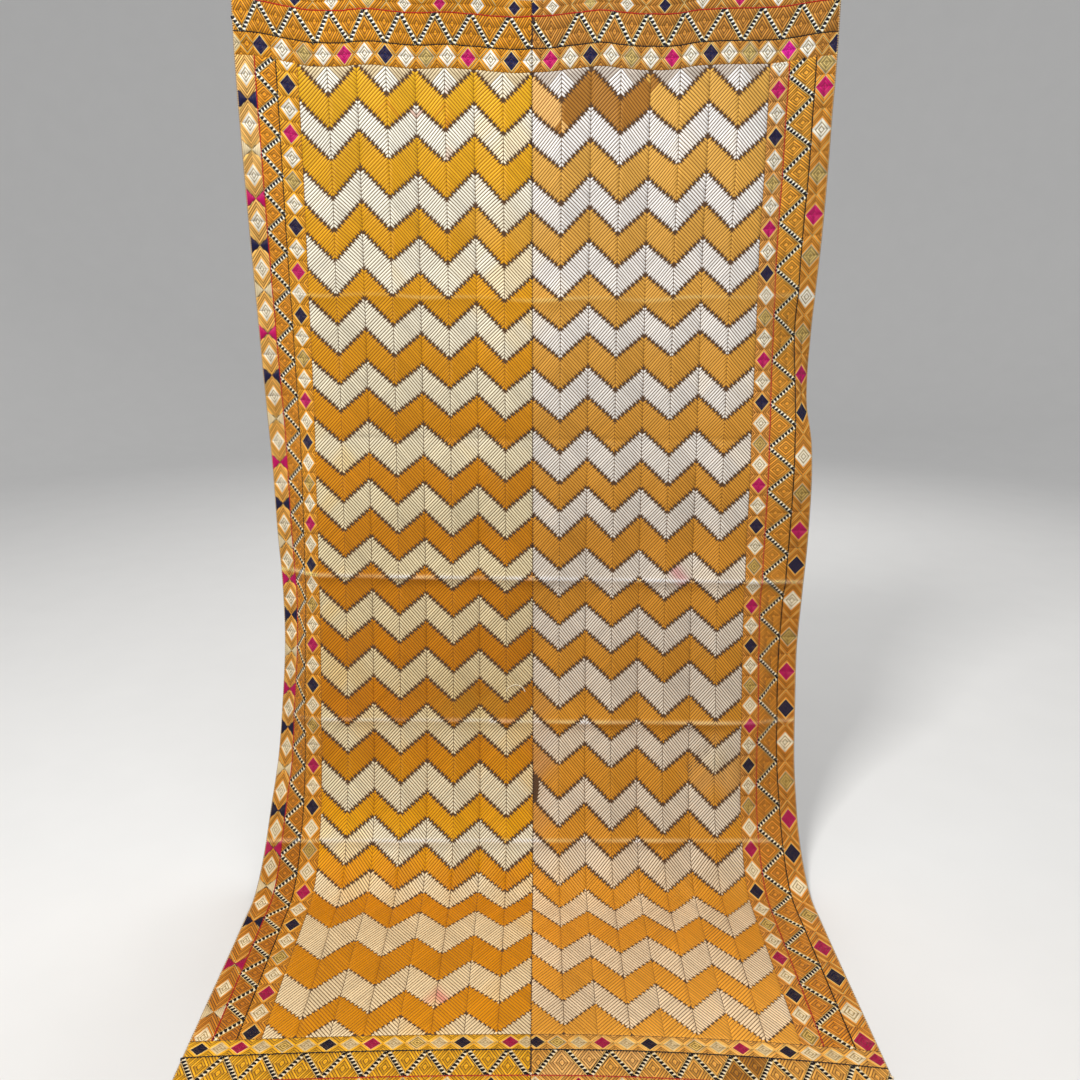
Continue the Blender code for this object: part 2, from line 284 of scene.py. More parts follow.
# The draped form is worked out once, on a fine grid, and everything sewn to it is laid on it.
class Surface:
    def __init__(self, acrossStep, downStep):
        margin = 0.004
        self.left = -leftWidth - margin
        self.top = -margin
        acrossCount = math.ceil((leftWidth + rightWidth + 2 * margin) / acrossStep) + 1
        downCount = math.ceil((cloth["length"] + 2 * margin) / downStep) + 1
        self.acrossStep, self.downStep = acrossStep, downStep
        across = self.left + acrossStep * np.arange(acrossCount)
        down = self.top + downStep * np.arange(downCount)
        a, d = np.meshgrid(across, down)
        flat = drape(a.ravel(), d.ravel()) - (0, rodDepth, rodHeight)
        self.points = flat.reshape(downCount, acrossCount, 3)
        alongAcross = np.gradient(self.points, axis=1)
        alongDown = np.gradient(self.points, axis=0)
        normals = np.cross(alongDown, alongAcross)
        self.normals = normals / np.linalg.norm(normals, axis=2, keepdims=True)

    def at(self, across, down, lift):
        a = (across - self.left) / self.acrossStep
        d = (down - self.top) / self.downStep
        i = np.clip(a.astype(int), 0, self.points.shape[1] - 2)
        j = np.clip(d.astype(int), 0, self.points.shape[0] - 2)
        s = np.clip(a - i, 0, 1)[:, None]
        t = np.clip(d - j, 0, 1)[:, None]
        place = 0
        facing = 0
        for dj, wj in ((0, 1 - t), (1, t)):
            for di, wi in ((0, 1 - s), (1, s)):
                place = place + self.points[j + dj, i + di] * wj * wi
                facing = facing + self.normals[j + dj, i + di] * wj * wi
        facing /= np.linalg.norm(facing, axis=1, keepdims=True)
        return place + facing * np.asarray(lift)[:, None]


surface = Surface(0.002, 0.003)
print("drape: form laid out on", surface.points.shape[0], "by", surface.points.shape[1], "points")

# Heights above the middle of the wall. The woven ground fills the back half, and the floss
# stands on it.
layers = {"back": -0.0008, "front": -0.0001, "sunk": 0.00012, "floss": 0.0010, "behindFloss": 0.0005}


# Meshes from arrays
def buildMesh(name, points, faces, material, colours=None, threads=None):
    mesh = bpy.data.meshes.new(name)
    loops = np.concatenate([f.ravel() for f in faces])
    sizes = np.concatenate([np.full(len(f), f.shape[1]) for f in faces])
    starts = np.concatenate([[0], np.cumsum(sizes)[:-1]])
    mesh.vertices.add(len(points))
    mesh.vertices.foreach_set("co", np.asarray(points, np.float32).ravel())
    mesh.loops.add(len(loops))
    mesh.loops.foreach_set("vertex_index", loops.astype(np.int32))
    mesh.polygons.add(len(sizes))
    mesh.polygons.foreach_set("loop_start", starts.astype(np.int32))
    mesh.polygons.foreach_set("use_smooth", np.ones(len(sizes), bool))
    mesh.update(calc_edges=True)
    if colours is not None:
        layer = mesh.attributes.new("floss", "FLOAT_COLOR", "POINT")
        rgba = np.concatenate([colours, np.ones((len(colours), 1))], axis=1)
        layer.data.foreach_set("color", rgba.astype(np.float32).ravel())
    uv = mesh.uv_layers.new(name="threads")
    uv.data.foreach_set("uv", threads[loops].astype(np.float32).ravel())
    mesh.materials.append(material)
    mesh.validate()
    piece = bpy.data.objects.new(name, mesh)
    bpy.context.scene.collection.objects.link(piece)
    return piece


# Colours are kept as they look on a screen, from 0 to 255
def linear(colour):
    c = np.asarray(colour, float) / 255
    return np.where(c <= 0.04045, c / 12.92, ((c + 0.055) / 1.055) ** 2.4)


# How each floss colour changes down the cloth, in rows of down, red, green, blue, and how much
# of it is left at the sides of a bundle. The two widths and the borders differ in their silk's own
# colours. The change down the cloth is partly the silk's own and partly painted light and shade:
# paler near the top, darker further down, a bright row where the cloth bends onto the floor and a
# darker left border at the foot. What is left at the sides of a bundle is painted shade.
floss = {
    "goldLeft": {
        "rows": ((0.0, 230, 182, 40), (0.5, 224, 162, 30), (1.0, 210, 138, 24), (1.6, 194, 121, 18),
                 (1.85, 238, 172, 20), (1.98, 213, 134, 14), (2.5, 224, 148, 20)),
        "sides": (0.66, 0.46, 0.16),
    },
    "goldRight": {
        "rows": ((0.0, 230, 180, 90), (0.6, 224, 166, 72), (1.2, 209, 143, 48), (1.8, 218, 149, 44),
                 (2.1, 228, 150, 40), (2.5, 240, 172, 70)),
        "sides": (0.44, 0.32, 0.16),
    },
    "brownGold": {"rows": ((0.0, 176, 120, 50), (2.5, 176, 116, 40)), "sides": (0.50, 0.40, 0.28)},
    "peachGold": {"rows": ((0.0, 236, 186, 112), (2.5, 234, 178, 102)), "sides": (0.50, 0.36, 0.24)},
    "innerGoldLeft": {
        "rows": ((0.0, 244, 178, 46), (0.8, 234, 162, 42), (1.6, 222, 148, 40), (2.5, 218, 144, 42)),
        "sides": (0.50, 0.31, 0.09),
    },
    "zigzagGoldLeft": {
        "rows": ((0.0, 240, 162, 40), (0.8, 226, 148, 38), (1.6, 214, 138, 36), (2.0, 200, 122, 30),
                 (2.5, 192, 114, 28)),
        "sides": (0.50, 0.31, 0.09),
    },
    "outerGoldLeft": {
        "rows": ((0.0, 246, 200, 122), (0.8, 236, 176, 84), (1.6, 222, 154, 60), (2.0, 208, 134, 40),
                 (2.5, 198, 122, 36)),
        "sides": (0.62, 0.46, 0.24),
    },
    "innerGoldRight": {
        "rows": ((0.0, 226, 164, 88), (0.8, 218, 152, 70), (1.6, 216, 144, 54), (2.5, 226, 148, 56)),
        "sides": (0.50, 0.35, 0.17),
    },
    "zigzagGoldRight": {
        "rows": ((0.0, 244, 178, 64), (0.8, 228, 158, 54), (1.6, 218, 142, 46), (2.5, 220, 138, 40)),
        "sides": (0.50, 0.33, 0.12),
    },
    "outerGoldRight": {
        "rows": ((0.0, 226, 154, 56), (0.8, 216, 144, 50), (1.6, 210, 134, 44), (2.5, 224, 146, 50)),
        "sides": (0.50, 0.33, 0.14),
    },
    "endGoldLeft": {
        "rows": ((0.0, 216, 146, 34), (2.3, 238, 178, 38), (2.5, 236, 172, 34)),
        "sides": (0.56, 0.36, 0.10),
    },
    "endGoldRight": {
        "rows": ((0.0, 200, 138, 58), (2.3, 234, 170, 78), (2.5, 230, 166, 74)),
        "sides": (0.50, 0.34, 0.16),
    },
    "whiteLeft": {
        "rows": ((0.0, 255, 254, 242), (0.6, 252, 244, 220), (1.1, 244, 228, 186), (1.5, 236, 214, 164),
                 (1.88, 250, 238, 206), (2.0, 246, 216, 166), (2.4, 250, 222, 174)),
        "sides": (0.34, 0.28, 0.20),
    },
    "whiteRight": {
        "rows": ((0.0, 255, 252, 249), (0.9, 244, 237, 226), (1.4, 232, 218, 198), (1.85, 238, 220, 192),
                 (2.0, 244, 212, 168), (2.4, 248, 220, 180)),
        "sides": (0.34, 0.29, 0.24),
    },
    "beigeLeft": {"rows": ((0.0, 226, 206, 164), (2.5, 220, 196, 150)), "sides": (0.40, 0.33, 0.26)},
    "beigeRight": {"rows": ((0.0, 206, 194, 180), (2.5, 200, 184, 164)), "sides": (0.42, 0.36, 0.32)},
    "cream": {
        "rows": ((0.0, 255, 252, 240), (1.2, 246, 234, 206), (2.5, 242, 220, 176)),
        "sides": (0.80, 0.77, 0.70),
    },
    "creamLine": {
        "rows": ((0.0, 178, 162, 128), (1.2, 176, 154, 112), (2.5, 190, 160, 108)),
        "sides": (0.9, 0.9, 0.9),
    },
    "pale": {
        "rows": ((0.0, 255, 228, 150), (1.2, 238, 198, 110), (2.5, 246, 204, 116)),
        "sides": (0.86, 0.80, 0.62),
    },
    "dimCream": {"rows": ((0.0, 226, 210, 172), (2.5, 222, 198, 152)), "sides": (0.72, 0.66, 0.56)},
    "navy": {"rows": ((0.0, 0, 24, 76), (2.5, 0, 14, 46)), "sides": (0.7, 0.7, 0.7)},
    "magenta": {"rows": ((0.0, 204, 10, 112), (2.5, 170, 6, 70)), "sides": (0.8, 0.8, 0.8)},
    "pink": {"rows": ((0.0, 226, 10, 156), (2.5, 226, 10, 156)), "sides": (0.8, 0.8, 0.8)},
    "khaki": {
        "rows": ((0.0, 166, 146, 92), (1.2, 148, 122, 66), (2.5, 160, 130, 62)),
        "sides": (0.6, 0.56, 0.5),
    },
    "black": {"rows": ((0.0, 14, 8, 10), (2.5, 18, 10, 10)), "sides": (0.9, 0.9, 0.9)},
    "ropeWhite": {
        "rows": ((0.0, 255, 252, 240), (1.2, 250, 238, 212), (2.5, 250, 230, 190)),
        "sides": (0.66, 0.60, 0.50),
    },
    "red": {"rows": ((0.0, 186, 26, 22), (1.0, 184, 28, 40), (2.5, 172, 24, 30)), "sides": (0.8, 0.6, 0.6)},
    "thread": {"rows": ((0.0, 74, 48, 38), (2.5, 70, 44, 34)), "sides": (0.8, 0.8, 0.8)},
    "selvedge": {"rows": ((0.0, 222, 192, 148), (2.5, 214, 182, 136)), "sides": (0.6, 0.5, 0.4)},
}

# Marks on the cloth: where, how far they reach across and down, their tint, and how strong
stains = (
    {"across": 0.341, "down": 1.250, "wide": 0.013, "high": 0.018, "tint": (255, 150, 160), "strength": 0.6},
    {"across": -0.177, "down": 2.285, "wide": 0.018, "high": 0.013, "tint": (255, 130, 130), "strength": 0.7},
    {"across": -0.130, "down": 1.560, "wide": 0.110, "high": 0.050, "tint": (240, 200, 80), "strength": 0.35},
    {"across": -0.060, "down": 0.450, "wide": 0.070, "high": 0.050, "tint": (250, 220, 150), "strength": 0.25},
    {"across": 0.020, "down": 1.700, "wide": 0.020, "high": 0.160, "tint": (200, 170, 150), "strength": 0.35},
    {"across": -0.180, "down": 0.265, "wide": 0.006, "high": 0.090, "tint": (196, 84, 20), "strength": 0.5},
    {"across": -0.250, "down": 0.225, "wide": 0.070, "high": 0.004, "tint": (196, 84, 20), "strength": 0.5},
    {"across": 0.440, "down": 1.700, "wide": 0.050, "high": 0.050, "tint": (255, 232, 180), "strength": 0.5},
)


def flossColours(kinds, down):
    colours = np.zeros((len(down), 3))
    sides = np.zeros((len(down), 3))
    for kind in np.unique(kinds):
        chosen = kinds == kind
        rows = np.array(floss[kind]["rows"], float)
        rgb = [np.interp(down[chosen], rows[:, 0], rows[:, k]) for k in (1, 2, 3)]
        colours[chosen] = linear(np.stack(rgb, axis=-1))
        sides[chosen] = floss[kind]["sides"]
    # between 1.92 and 2.0 m down the painted shade at the sides of a bundle eases to 40% weaker
    close = 0.4 * ease((down - 1.92) / 0.08)[:, None]
    return colours, sides + (1 - sides) * close


# How much wear there is in broad and in small patches, how yellow the white silk has gone, and
# how strong and how wide the painted highlight along a sharp crease and the painted shade just
# below it are
wear = {
    "broad": 0.07, "small": 0.05, "yellowing": 0.5, "yellowRight": 0.35, "yellow": (250, 226, 170),
    # the last five: a painted highlight along each sharp crease and its width, then a painted shade just below
    # it, its width and how far below
    "paintedCreaseLight": 270, "paintedHighlightHalf": 0.0042, "dulled": 60, "paintedShadeHalf": 0.008, "paintedShadeBelow": 0.012,
}


def weathered(colours, kinds, places):
    a, d = places[:, 0], places[:, 1]
    patch = np.sin(7.1 * a + 2.3 * np.sin(4.7 * d + 1)) * np.sin(8.3 * d + 1.9 * np.sin(6.1 * a))
    small = np.sin(31 * a + 2 * np.sin(23 * d)) * np.sin(29 * d + 2 * np.sin(19 * a + 2))
    colours = colours * (1 + wear["broad"] * patch + wear["small"] * small)[:, None]
    pale = np.char.startswith(kinds, "white")
    yellow = pale * wear["yellowing"] * ease((patch + 0.6 * small - 0.2) / 0.9)
    yellow = yellow * np.where(a < 0, 1.0, wear["yellowRight"])
    return colours * (1 - yellow[:, None] * (1 - linear(wear["yellow"])))


# Painted highlight along each sharp crease and painted shade just below it, mixed into the floss colour
def paintedCreaseLight(colours, places):
    light = np.zeros(len(places))
    for c in creases:
        off = places[:, 1] - c["down"] - c["lean"] * places[:, 0] / rightWidth
        within = (places[:, 0] > c["from"]) & (places[:, 0] < c["to"])
        uneven = 0.7 + 0.3 * np.sin(places[:, 0] * 23 + c["down"] * 11)
        highlight = wear["paintedCreaseLight"] * np.exp(-((off / wear["paintedHighlightHalf"]) ** 2))
        shadeBelow = wear["dulled"] * np.exp(-(((off - wear["paintedShadeBelow"]) / wear["paintedShadeHalf"]) ** 2))
        light += within * uneven * c["fold"] * (highlight - shadeBelow)
    share = np.clip(light * 1.4, 0, 0.9)[:, None]
    pale = np.minimum(colours * 1.7 + 0.24, 0.95)
    return colours * (1 + np.minimum(light, 0))[:, None] * (1 - share) + pale * share


def stained(colours, places):
    for s in stains:
        near = ((places[:, 0] - s["across"]) / s["wide"]) ** 2 + ((places[:, 1] - s["down"]) / s["high"]) ** 2
        share = (s["strength"] * np.exp(-near))[:, None]
        colours = colours * (1 - share) + linear(s["tint"]) * colours.max(axis=1, keepdims=True) * share
    return colours


# The top border was drawn by eye and wanders a little between the clips: across, then how much
# lower it lies
wanders = (
    (-0.617, 0.003), (-0.56, 0.000), (-0.49, -0.006), (-0.44, -0.003), (-0.39, 0.004), (-0.33, 0.001),
    (-0.30, 0.002), (-0.24, -0.003), (-0.20, -0.002), (-0.14, 0.003), (-0.09, 0.004), (-0.04, 0.000),
    (0.0, -0.004), (0.05, -0.002), (0.10, -0.001), (0.14, -0.004), (0.18, -0.001), (0.25, -0.004),
    (0.31, 0.003), (0.40, 0.004), (0.48, 0.002), (0.55, 0.004), (0.632, 0.005),
)


def topWave(across, down):
    rows = np.array(wanders)
    wave = np.interp(across, rows[:, 0], rows[:, 1])
    return wave * ease(down / 0.03) * (1 - ease((down - 0.10) / 0.25))


# A bundle of floss lying as one stitch: it rises from the ground at both sides, is rounded over
# and comes down at its two ends, which are pointed or slanted to a mitre. Many are kept as rows
# of numbers and made at once.
stitchForm = {"across": (-0.5, -0.22, 0.22, 0.5), "high": (0.0, 1.0, 1.0, 0.0), "tipHigh": 0.35,
              "span": 0.016, "spanAtCrease": 0.0045}


class Stitches:
    def __init__(self, name, material, behind=False):
        self.name = name
        self.material = material
        self.behind = behind
        self.rows = []
        self.kinds = []

    def add(self, kind, start, end, width, tips=(0.0006, 0.0006), slants=(0, 0), lift=1.0, tone=1.0):
        shade = tone * (0.93 + 0.14 * dice.random())
        self.rows.append((*start, *end, width, *tips, *slants, lift, shade))
        self.kinds.append(kind)

    # the line of short stitches that holds a laid thread down
    def chain(self, kind, points, width=0.0027, stitch=0.010, lift=1.3, wobble=0.0003):
        for a, b in zip(points, points[1:]):
            a, b = np.array(a), np.array(b)
            count = max(1, round(np.hypot(*(b - a)) / stitch))
            for k in range(count):
                shift = wobble * (dice.random(2) - 0.5)
                first = a + (b - a) * (k - 0.04) / count + shift
                last = a + (b - a) * (k + 1.04) / count + shift
                self.add(kind, first, last, width, (0.0008, 0.0008), lift=lift)

    def make(self):
        rows = np.array(self.rows)
        kinds = np.array(self.kinds)
        along = rows[:, 2:4] - rows[:, 0:2]
        long = np.hypot(along[:, 0], along[:, 1])
        middle = (rows[:, 0:2] + rows[:, 2:4]) / 2
        onCrease = np.zeros(len(rows), bool)
        for c in creases:
            off = middle[:, 1] - c["down"] - c["lean"] * middle[:, 0] / rightWidth
            onCrease |= (off > -1.5 * c["above"] - long / 3) & (off < 1.5 * c["below"] + long / 3)
        step = np.where(onCrease, stitchForm["spanAtCrease"], stitchForm["span"])
        spans = np.clip(np.ceil(long / step - 0.2), 1, 9).astype(int)
        colours, sides = flossColours(kinds, middle[:, 1])
        colours = stained(weathered(colours * rows[:, 10:11], kinds, middle), middle)
        made = []
        for n in np.unique(spans):
            chosen = spans == n
            made.append(self.bundles(rows[chosen], n, colours[chosen], sides[chosen]))
        points, tints, threads, tris, quads = [], [], [], [], []
        count = 0
        for flat, lift, tint, thread, tri, quad in made:
            if self.behind:
                rise = layers["back"] + layers["sunk"] - lift * layers["behindFloss"]
                tri, quad = tri[:, ::-1], quad[:, ::-1]
            else:
                rise = layers["front"] - layers["sunk"] + lift * (layers["floss"] - layers["front"])
            down = flat[:, 1] + topWave(flat[:, 0], flat[:, 1])
            points.append(surface.at(flat[:, 0], down, rise))
            # the floss colours get the painted highlight and shade along the creases
            tints.append(paintedCreaseLight(tint, flat))
            threads.append(thread)
            tris.append(tri + count)
            quads.append(quad + count)
            count += len(flat)
        faces = [np.concatenate(tris), np.concatenate(quads)]
        piece = buildMesh(self.name, np.concatenate(points), faces, self.material, np.concatenate(tints),
                          np.concatenate(threads))
        triangles = len(faces[0]) + 2 * len(faces[1])
        total.append(triangles)
        print(self.name, "has", len(rows), "stitches,", triangles, "triangles")
        return piece

    def bundles(self, rows, spans, colours, sides):
        count = len(rows)
        start, end = rows[:, 0:2], rows[:, 2:4]
        width, slantStart, slantEnd, lift = rows[:, 4], rows[:, 7], rows[:, 8], rows[:, 9]
        along = end - start
        long = np.hypot(along[:, 0], along[:, 1])
        along /= long[:, None]
        side = np.stack([along[:, 1], -along[:, 0]], axis=1)
        tipStart = np.minimum(rows[:, 5], long * 0.4)
        tipEnd = np.minimum(rows[:, 6], (long - tipStart) * 0.9)
        flat, lifts, edge = [start], [stitchForm["tipHigh"] * lift], [0.5]
        thread = [np.zeros((count, 2))]
        for n in range(spans + 1):
            for a, h in zip(stitchForm["across"], stitchForm["high"]):
                first = tipStart - a * width * slantStart
                last = long - tipEnd - a * width * slantEnd
                distance = first + (last - first) * n / spans
                flat.append(start + along * distance[:, None] + side * (a * width)[:, None])
                lifts.append(h * lift)
                edge.append(1 if h == 0 else 0)
                thread.append(np.stack([a * width, distance], axis=1))
        flat.append(end)
        lifts.append(stitchForm["tipHigh"] * lift)
        edge.append(0.5)
        thread.append(np.stack([np.zeros(count), long], axis=1))
        each = len(flat)
        # painted shade: each bundle's colour darkens toward its sides, and half as much at its two tips
        shade = 1 + (sides[:, None, :] - 1) * np.array(edge)[None, :, None]
        tint = (colours[:, None, :] * shade).reshape(-1, 3)
        thread = np.stack(thread, axis=1) + dice.random((count, 1, 2)) * (3.0, 9.0)
        base = (np.arange(count) * each)[:, None]
        lastRow = 1 + 4 * spans
        tris = []
        quads = []
        for k in range(3):
            tris.append(base + np.array([[0, 1 + k, 2 + k]]))
            tris.append(base + np.array([[each - 1, lastRow + k + 1, lastRow + k]]))
            for n in range(spans):
                a = 1 + 4 * n + k
                quads.append(base + np.array([[a, a + 4, a + 5, a + 1]]))
        return (np.stack(flat, axis=1).reshape(-1, 2), np.stack(lifts, axis=1).reshape(-1), tint,
                thread.reshape(-1, 2), np.concatenate(tris), np.concatenate(quads))


total = []


# A shape with straight sides, as its sides' outward directions and reaches. A margin keeps
# stitches back from a side, and a mitred side slants their ends.
def sidesOf(shape, margins, mitred):
    shape = np.array(shape, float)
    centre = shape.mean(axis=0)
    sides = []
    for n, (a, b) in enumerate(zip(shape, np.roll(shape, -1, axis=0))):
        out = np.array([b[1] - a[1], a[0] - b[0]])
        size = np.hypot(*out)
        if size < 1e-7:
            continue
        out /= size
        if np.dot(centre - a, out) > 0:
            out = -out
        sides.append((out, np.dot(out, a) - margins[n % len(margins)], mitred[n % len(mitred)]))
    return sides


def rectangle(left, right, top, bottom):
    return ((left, top), (right, top), (right, bottom), (left, bottom))


# Cuts a straight line to the inside of some sides: how far it runs each way from its point, and
# the side that it meets there
def cutLine(point, along, sides):
    low, high, atLow, atHigh = -1.0, 1.0, None, None
    for side in sides:
        out, reach, _ = side
        speed = along[0] * out[0] + along[1] * out[1]
        room = reach - (point[0] * out[0] + point[1] * out[1])
        if abs(speed) < 1e-9:
            if room < 0:
                return None
        elif speed > 0:
            if room / speed < high:
                high, atHigh = room / speed, side
        elif room / speed > low:
            low, atLow = room / speed, side
    return (low, high, atLow, atHigh) if high > low else None


def slantAt(side, along, limit=1.8):
    if side is None or not side[2]:
        return 0.0
    out = side[0]
    slant = (along[1] * out[0] - along[0] * out[1]) / (along[0] * out[0] + along[1] * out[1])
    return max(-limit, min(limit, slant))


# Lays one stitch across a shape, from side to side
def lay(stitches, kind, point, along, sides, width, shortest=0.002, pointed=0.0, **more):
    cut = cutLine(point, along, sides)
    if cut is None or cut[1] - cut[0] < shortest:
        return
    low, high, atLow, atHigh = cut
    room = (high - low) * 0.4
    tips = [0.0003 if side is None or side[2] else min(pointed, room) or 0.0006 for side in (atLow, atHigh)]
    slants = (slantAt(atLow, along), slantAt(atHigh, along))
    stitches.add(kind, point + along * low, point + along * high, width, tips, slants, **more)


# Shader maths
class Wire:
    def __init__(self, paint, socket):
        self.paint = paint
        self.socket = socket

    def maths(self, operation, first, second):
        return self.paint.node("ShaderNodeMath", {"operation": operation}, first, second)

    def __add__(self, other):
        return self.maths("ADD", self, other)

    def __radd__(self, other):
        return self.maths("ADD", other, self)

    def __sub__(self, other):
        return self.maths("SUBTRACT", self, other)

    def __rsub__(self, other):
        return self.maths("SUBTRACT", other, self)

    def __mul__(self, other):
        return self.maths("MULTIPLY", self, other)

    def __rmul__(self, other):
        return self.maths("MULTIPLY", other, self)


class Paint:
    def __init__(self, name):
        self.material = bpy.data.materials.new(name)
        self.material.use_nodes = True
        self.tree = self.material.node_tree
        self.shader = self.tree.nodes["Principled BSDF"]

    # one node of any kind: its settings first, then its sockets in turn, by place or by name
    def node(self, kind, settings=None, *values, output=0, places=None, **named):
        made = self.tree.nodes.new(kind)
        for key, value in (settings or {}).items():
            setattr(made, key, value)
        for key, value in [*enumerate(values), *(places or {}).items(), *named.items()]:
            self.feed(made.inputs[key], value)
        return Wire(self, made.outputs[output])

    def feed(self, socket, value):
        if isinstance(value, Wire):
            self.tree.links.new(value.socket, socket)
        else:
            socket.default_value = value

    def set(self, **sockets):
        for key, value in sockets.items():
            self.feed(self.shader.inputs[key.replace("_", " ")], value)

    def stretched(self, vector, x, y, z=1.0):
        return self.node("ShaderNodeVectorMath", {"operation": "MULTIPLY"}, vector, (x, y, z))

    def scaled(self, colour, amount):
        return self.node("ShaderNodeVectorMath", {"operation": "SCALE"}, colour, Scale=amount)

    def mixed(self, factor, first, second):
        return self.node("ShaderNodeMix", {"data_type": "RGBA"}, factor, places={6: first, 7: second}, output=2)

    def noise(self, vector, scale, detail=2.0, roughness=0.5):
        return self.node("ShaderNodeTexNoise", {}, Vector=vector, Scale=scale, Detail=detail,
                         Roughness=roughness)


def solid(colour):
    return (*linear(colour), 1)


# Silk floss: soft shine, with its filaments along each stitch
flossFinish = {"roughness": 0.42, "filament": 900.0, "bump": 0.35, "shine": 0.32}


def flossMaterial(name, tint, sheen):
    paint = Paint(name)
    threads = paint.node("ShaderNodeUVMap", {"uv_map": "threads"})
    colour = paint.node("ShaderNodeAttribute", {"attribute_name": "floss"})
    fine = paint.noise(paint.stretched(threads, flossFinish["filament"] * 2.2, 46.0), 1.0, 3.0)
    tone = paint.noise(paint.stretched(threads, flossFinish["filament"], 12.0), 1.0, 2.0)
    paint.set(
        Base_Color=paint.scaled(colour, 0.80 + 0.40 * tone),
        Roughness=flossFinish["roughness"] + 0.16 * (fine - 0.5),
        Specular_IOR_Level=flossFinish["shine"],
        Specular_Tint=solid(tint),
        Sheen_Weight=sheen,
        Sheen_Roughness=0.4,
        Sheen_Tint=solid(tint),
        Normal=paint.node("ShaderNodeBump", {}, Strength=flossFinish["bump"], Distance=0.0004, Height=fine),
    )
    return paint.material


# Handwoven cotton ground
groundFinish = {"brown": (104, 72, 44), "dark": (64, 44, 28), "thread": 0.0009}


def groundMaterial(name):
    paint = Paint(name)
    threads = paint.node("ShaderNodeUVMap", {"uv_map": "threads"})
    turn = 2 * math.pi / groundFinish["thread"]
    across, down = [paint.node("ShaderNodeSeparateXYZ", {}, threads, output=n) for n in (0, 1)]
    warp = paint.node("ShaderNodeMath", {"operation": "SINE"}, across * turn)
    weft = paint.node("ShaderNodeMath", {"operation": "SINE"}, down * turn)
    weave = warp * weft
    slub = paint.noise(paint.stretched(threads, 260.0, 30.0), 1.0, 3.0)
    wear = paint.noise(threads, 9.0, 4.0)
    paint.set(
        Base_Color=paint.mixed(slub * 0.6 + wear * 0.4 + 0.12 * weave,
                               solid(groundFinish["dark"]), solid(groundFinish["brown"])),
        Roughness=0.86 + 0.1 * (slub - 0.5),
        Sheen_Weight=0.15,
        Specular_IOR_Level=0.25,
        Normal=paint.node("ShaderNodeBump", {}, Strength=0.5, Distance=0.0003, Height=weave * 0.5 + slub),
    )
    return paint.material


# The rod has satin black paint, and the clips are of black-coated spring steel
hardware = {"paint": (48, 48, 51), "coating": (62, 62, 65)}


def hardMaterial(name, colour, metallic, rough, stretch):
    paint = Paint(name)
    place = paint.node("ShaderNodeTexCoord", {}, output=3)
    brushed = paint.noise(paint.stretched(place, *stretch), 1.0, 3.0)
    dulled = paint.noise(place, 40.0, 3.0)
    tint = linear(colour)
    dark, light = (*(tint * 0.75), 1), (*np.minimum(tint * 1.15, 1), 1)
    paint.set(
        Base_Color=paint.mixed(brushed * 0.7 + dulled * 0.3, dark, light),
        Metallic=metallic,
        Roughness=rough + 0.2 * (dulled - 0.5),
        Normal=paint.node("ShaderNodeBump", {}, Strength=0.2, Distance=0.0004, Height=brushed),
    )
    return paint.material


flossWhite = flossMaterial("creamFloss", (255, 250, 240), 0.20)
flossGold = flossMaterial("goldFloss", (255, 214, 150), 0.05)
flossBright = flossMaterial("brightFloss", (204, 206, 220), 0.035)
khaddar = groundMaterial("brownKhaddar")
blackPaint = hardMaterial("satinBlackPaint", hardware["paint"], 0.0, 0.36, (30.0, 400.0, 400.0))
blackCoat = hardMaterial("blackCoatedSteel", hardware["coating"], 0.6, 0.40, (160.0, 160.0, 160.0))
print("materials: floss, handwoven ground, paint and coated steel mixed")


# The woven ground of one width: a thin closed shell on the draped form, with more rows at the
# creases and more columns in the turned sides
groundParts = {
    "fieldStep": 0.020, "sideStep": 0.005, "rowStep": 0.008, "creaseStep": 0.0025, "least": 0.0012,
}


def groundRows():
    rows = [np.linspace(0, cloth["length"], round(cloth["length"] / groundParts["rowStep"]) + 1)]
    for c in creases:
        first, last = c["down"] - 1.3 * c["above"], c["down"] + 1.6 * c["below"]
        rows.append(np.arange(first, last, groundParts["creaseStep"]))
    rows = np.sort(np.concatenate(rows))
    apart = np.concatenate([[True], np.diff(rows) > groundParts["least"]])
    apart[-1] = True
    return rows[apart]


def groundPanel(name, inner, outer, fieldEdge, material):
    field = np.linspace(inner, fieldEdge, round(abs(fieldEdge - inner) / groundParts["fieldStep"]) + 1)
    side = np.linspace(fieldEdge, outer, round(abs(outer - fieldEdge) / groundParts["sideStep"]) + 1)
    columns = np.sort(np.concatenate([field, side[1:]]))
    rows = groundRows()
    a, d = np.meshgrid(columns, rows)
    a, d = a.ravel(), d.ravel()
    front = surface.at(a, d, np.full(len(a), layers["front"]))
    back = surface.at(a, d, np.full(len(a), layers["back"]))
    grid = np.arange(len(a)).reshape(len(rows), len(columns))
    corners = [c.ravel() for c in (grid[:-1, :-1], grid[1:, :-1], grid[1:, 1:], grid[:-1, 1:])]
    count = len(a)
    rim = np.concatenate([grid[:, 0], grid[-1, 1:], grid[::-1, -1][1:], grid[0, ::-1][1:-1]])
    following = np.roll(rim, -1)
    faces = [
        np.stack(corners, axis=1),
        np.stack(corners[::-1], axis=1) + count,
        np.stack([following, rim, rim + count, following + count], axis=1),
    ]
    threads = np.stack([np.concatenate([a, a]), np.concatenate([d, d])], axis=1)
    piece = buildMesh(name, np.concatenate([front, back]), faces, material, threads=threads)
    triangles = sum(len(f) for f in faces) * 2
    total.append(triangles)
    print(name, "has", triangles, "triangles")
    return piece


leftGround = groundPanel("groundLeft", -0.00002, -leftWidth, -cloth["fieldLeft"] + 0.03, khaddar)
rightGround = groundPanel("groundRight", 0.00002, rightWidth, cloth["fieldRight"] - 0.03, khaddar)


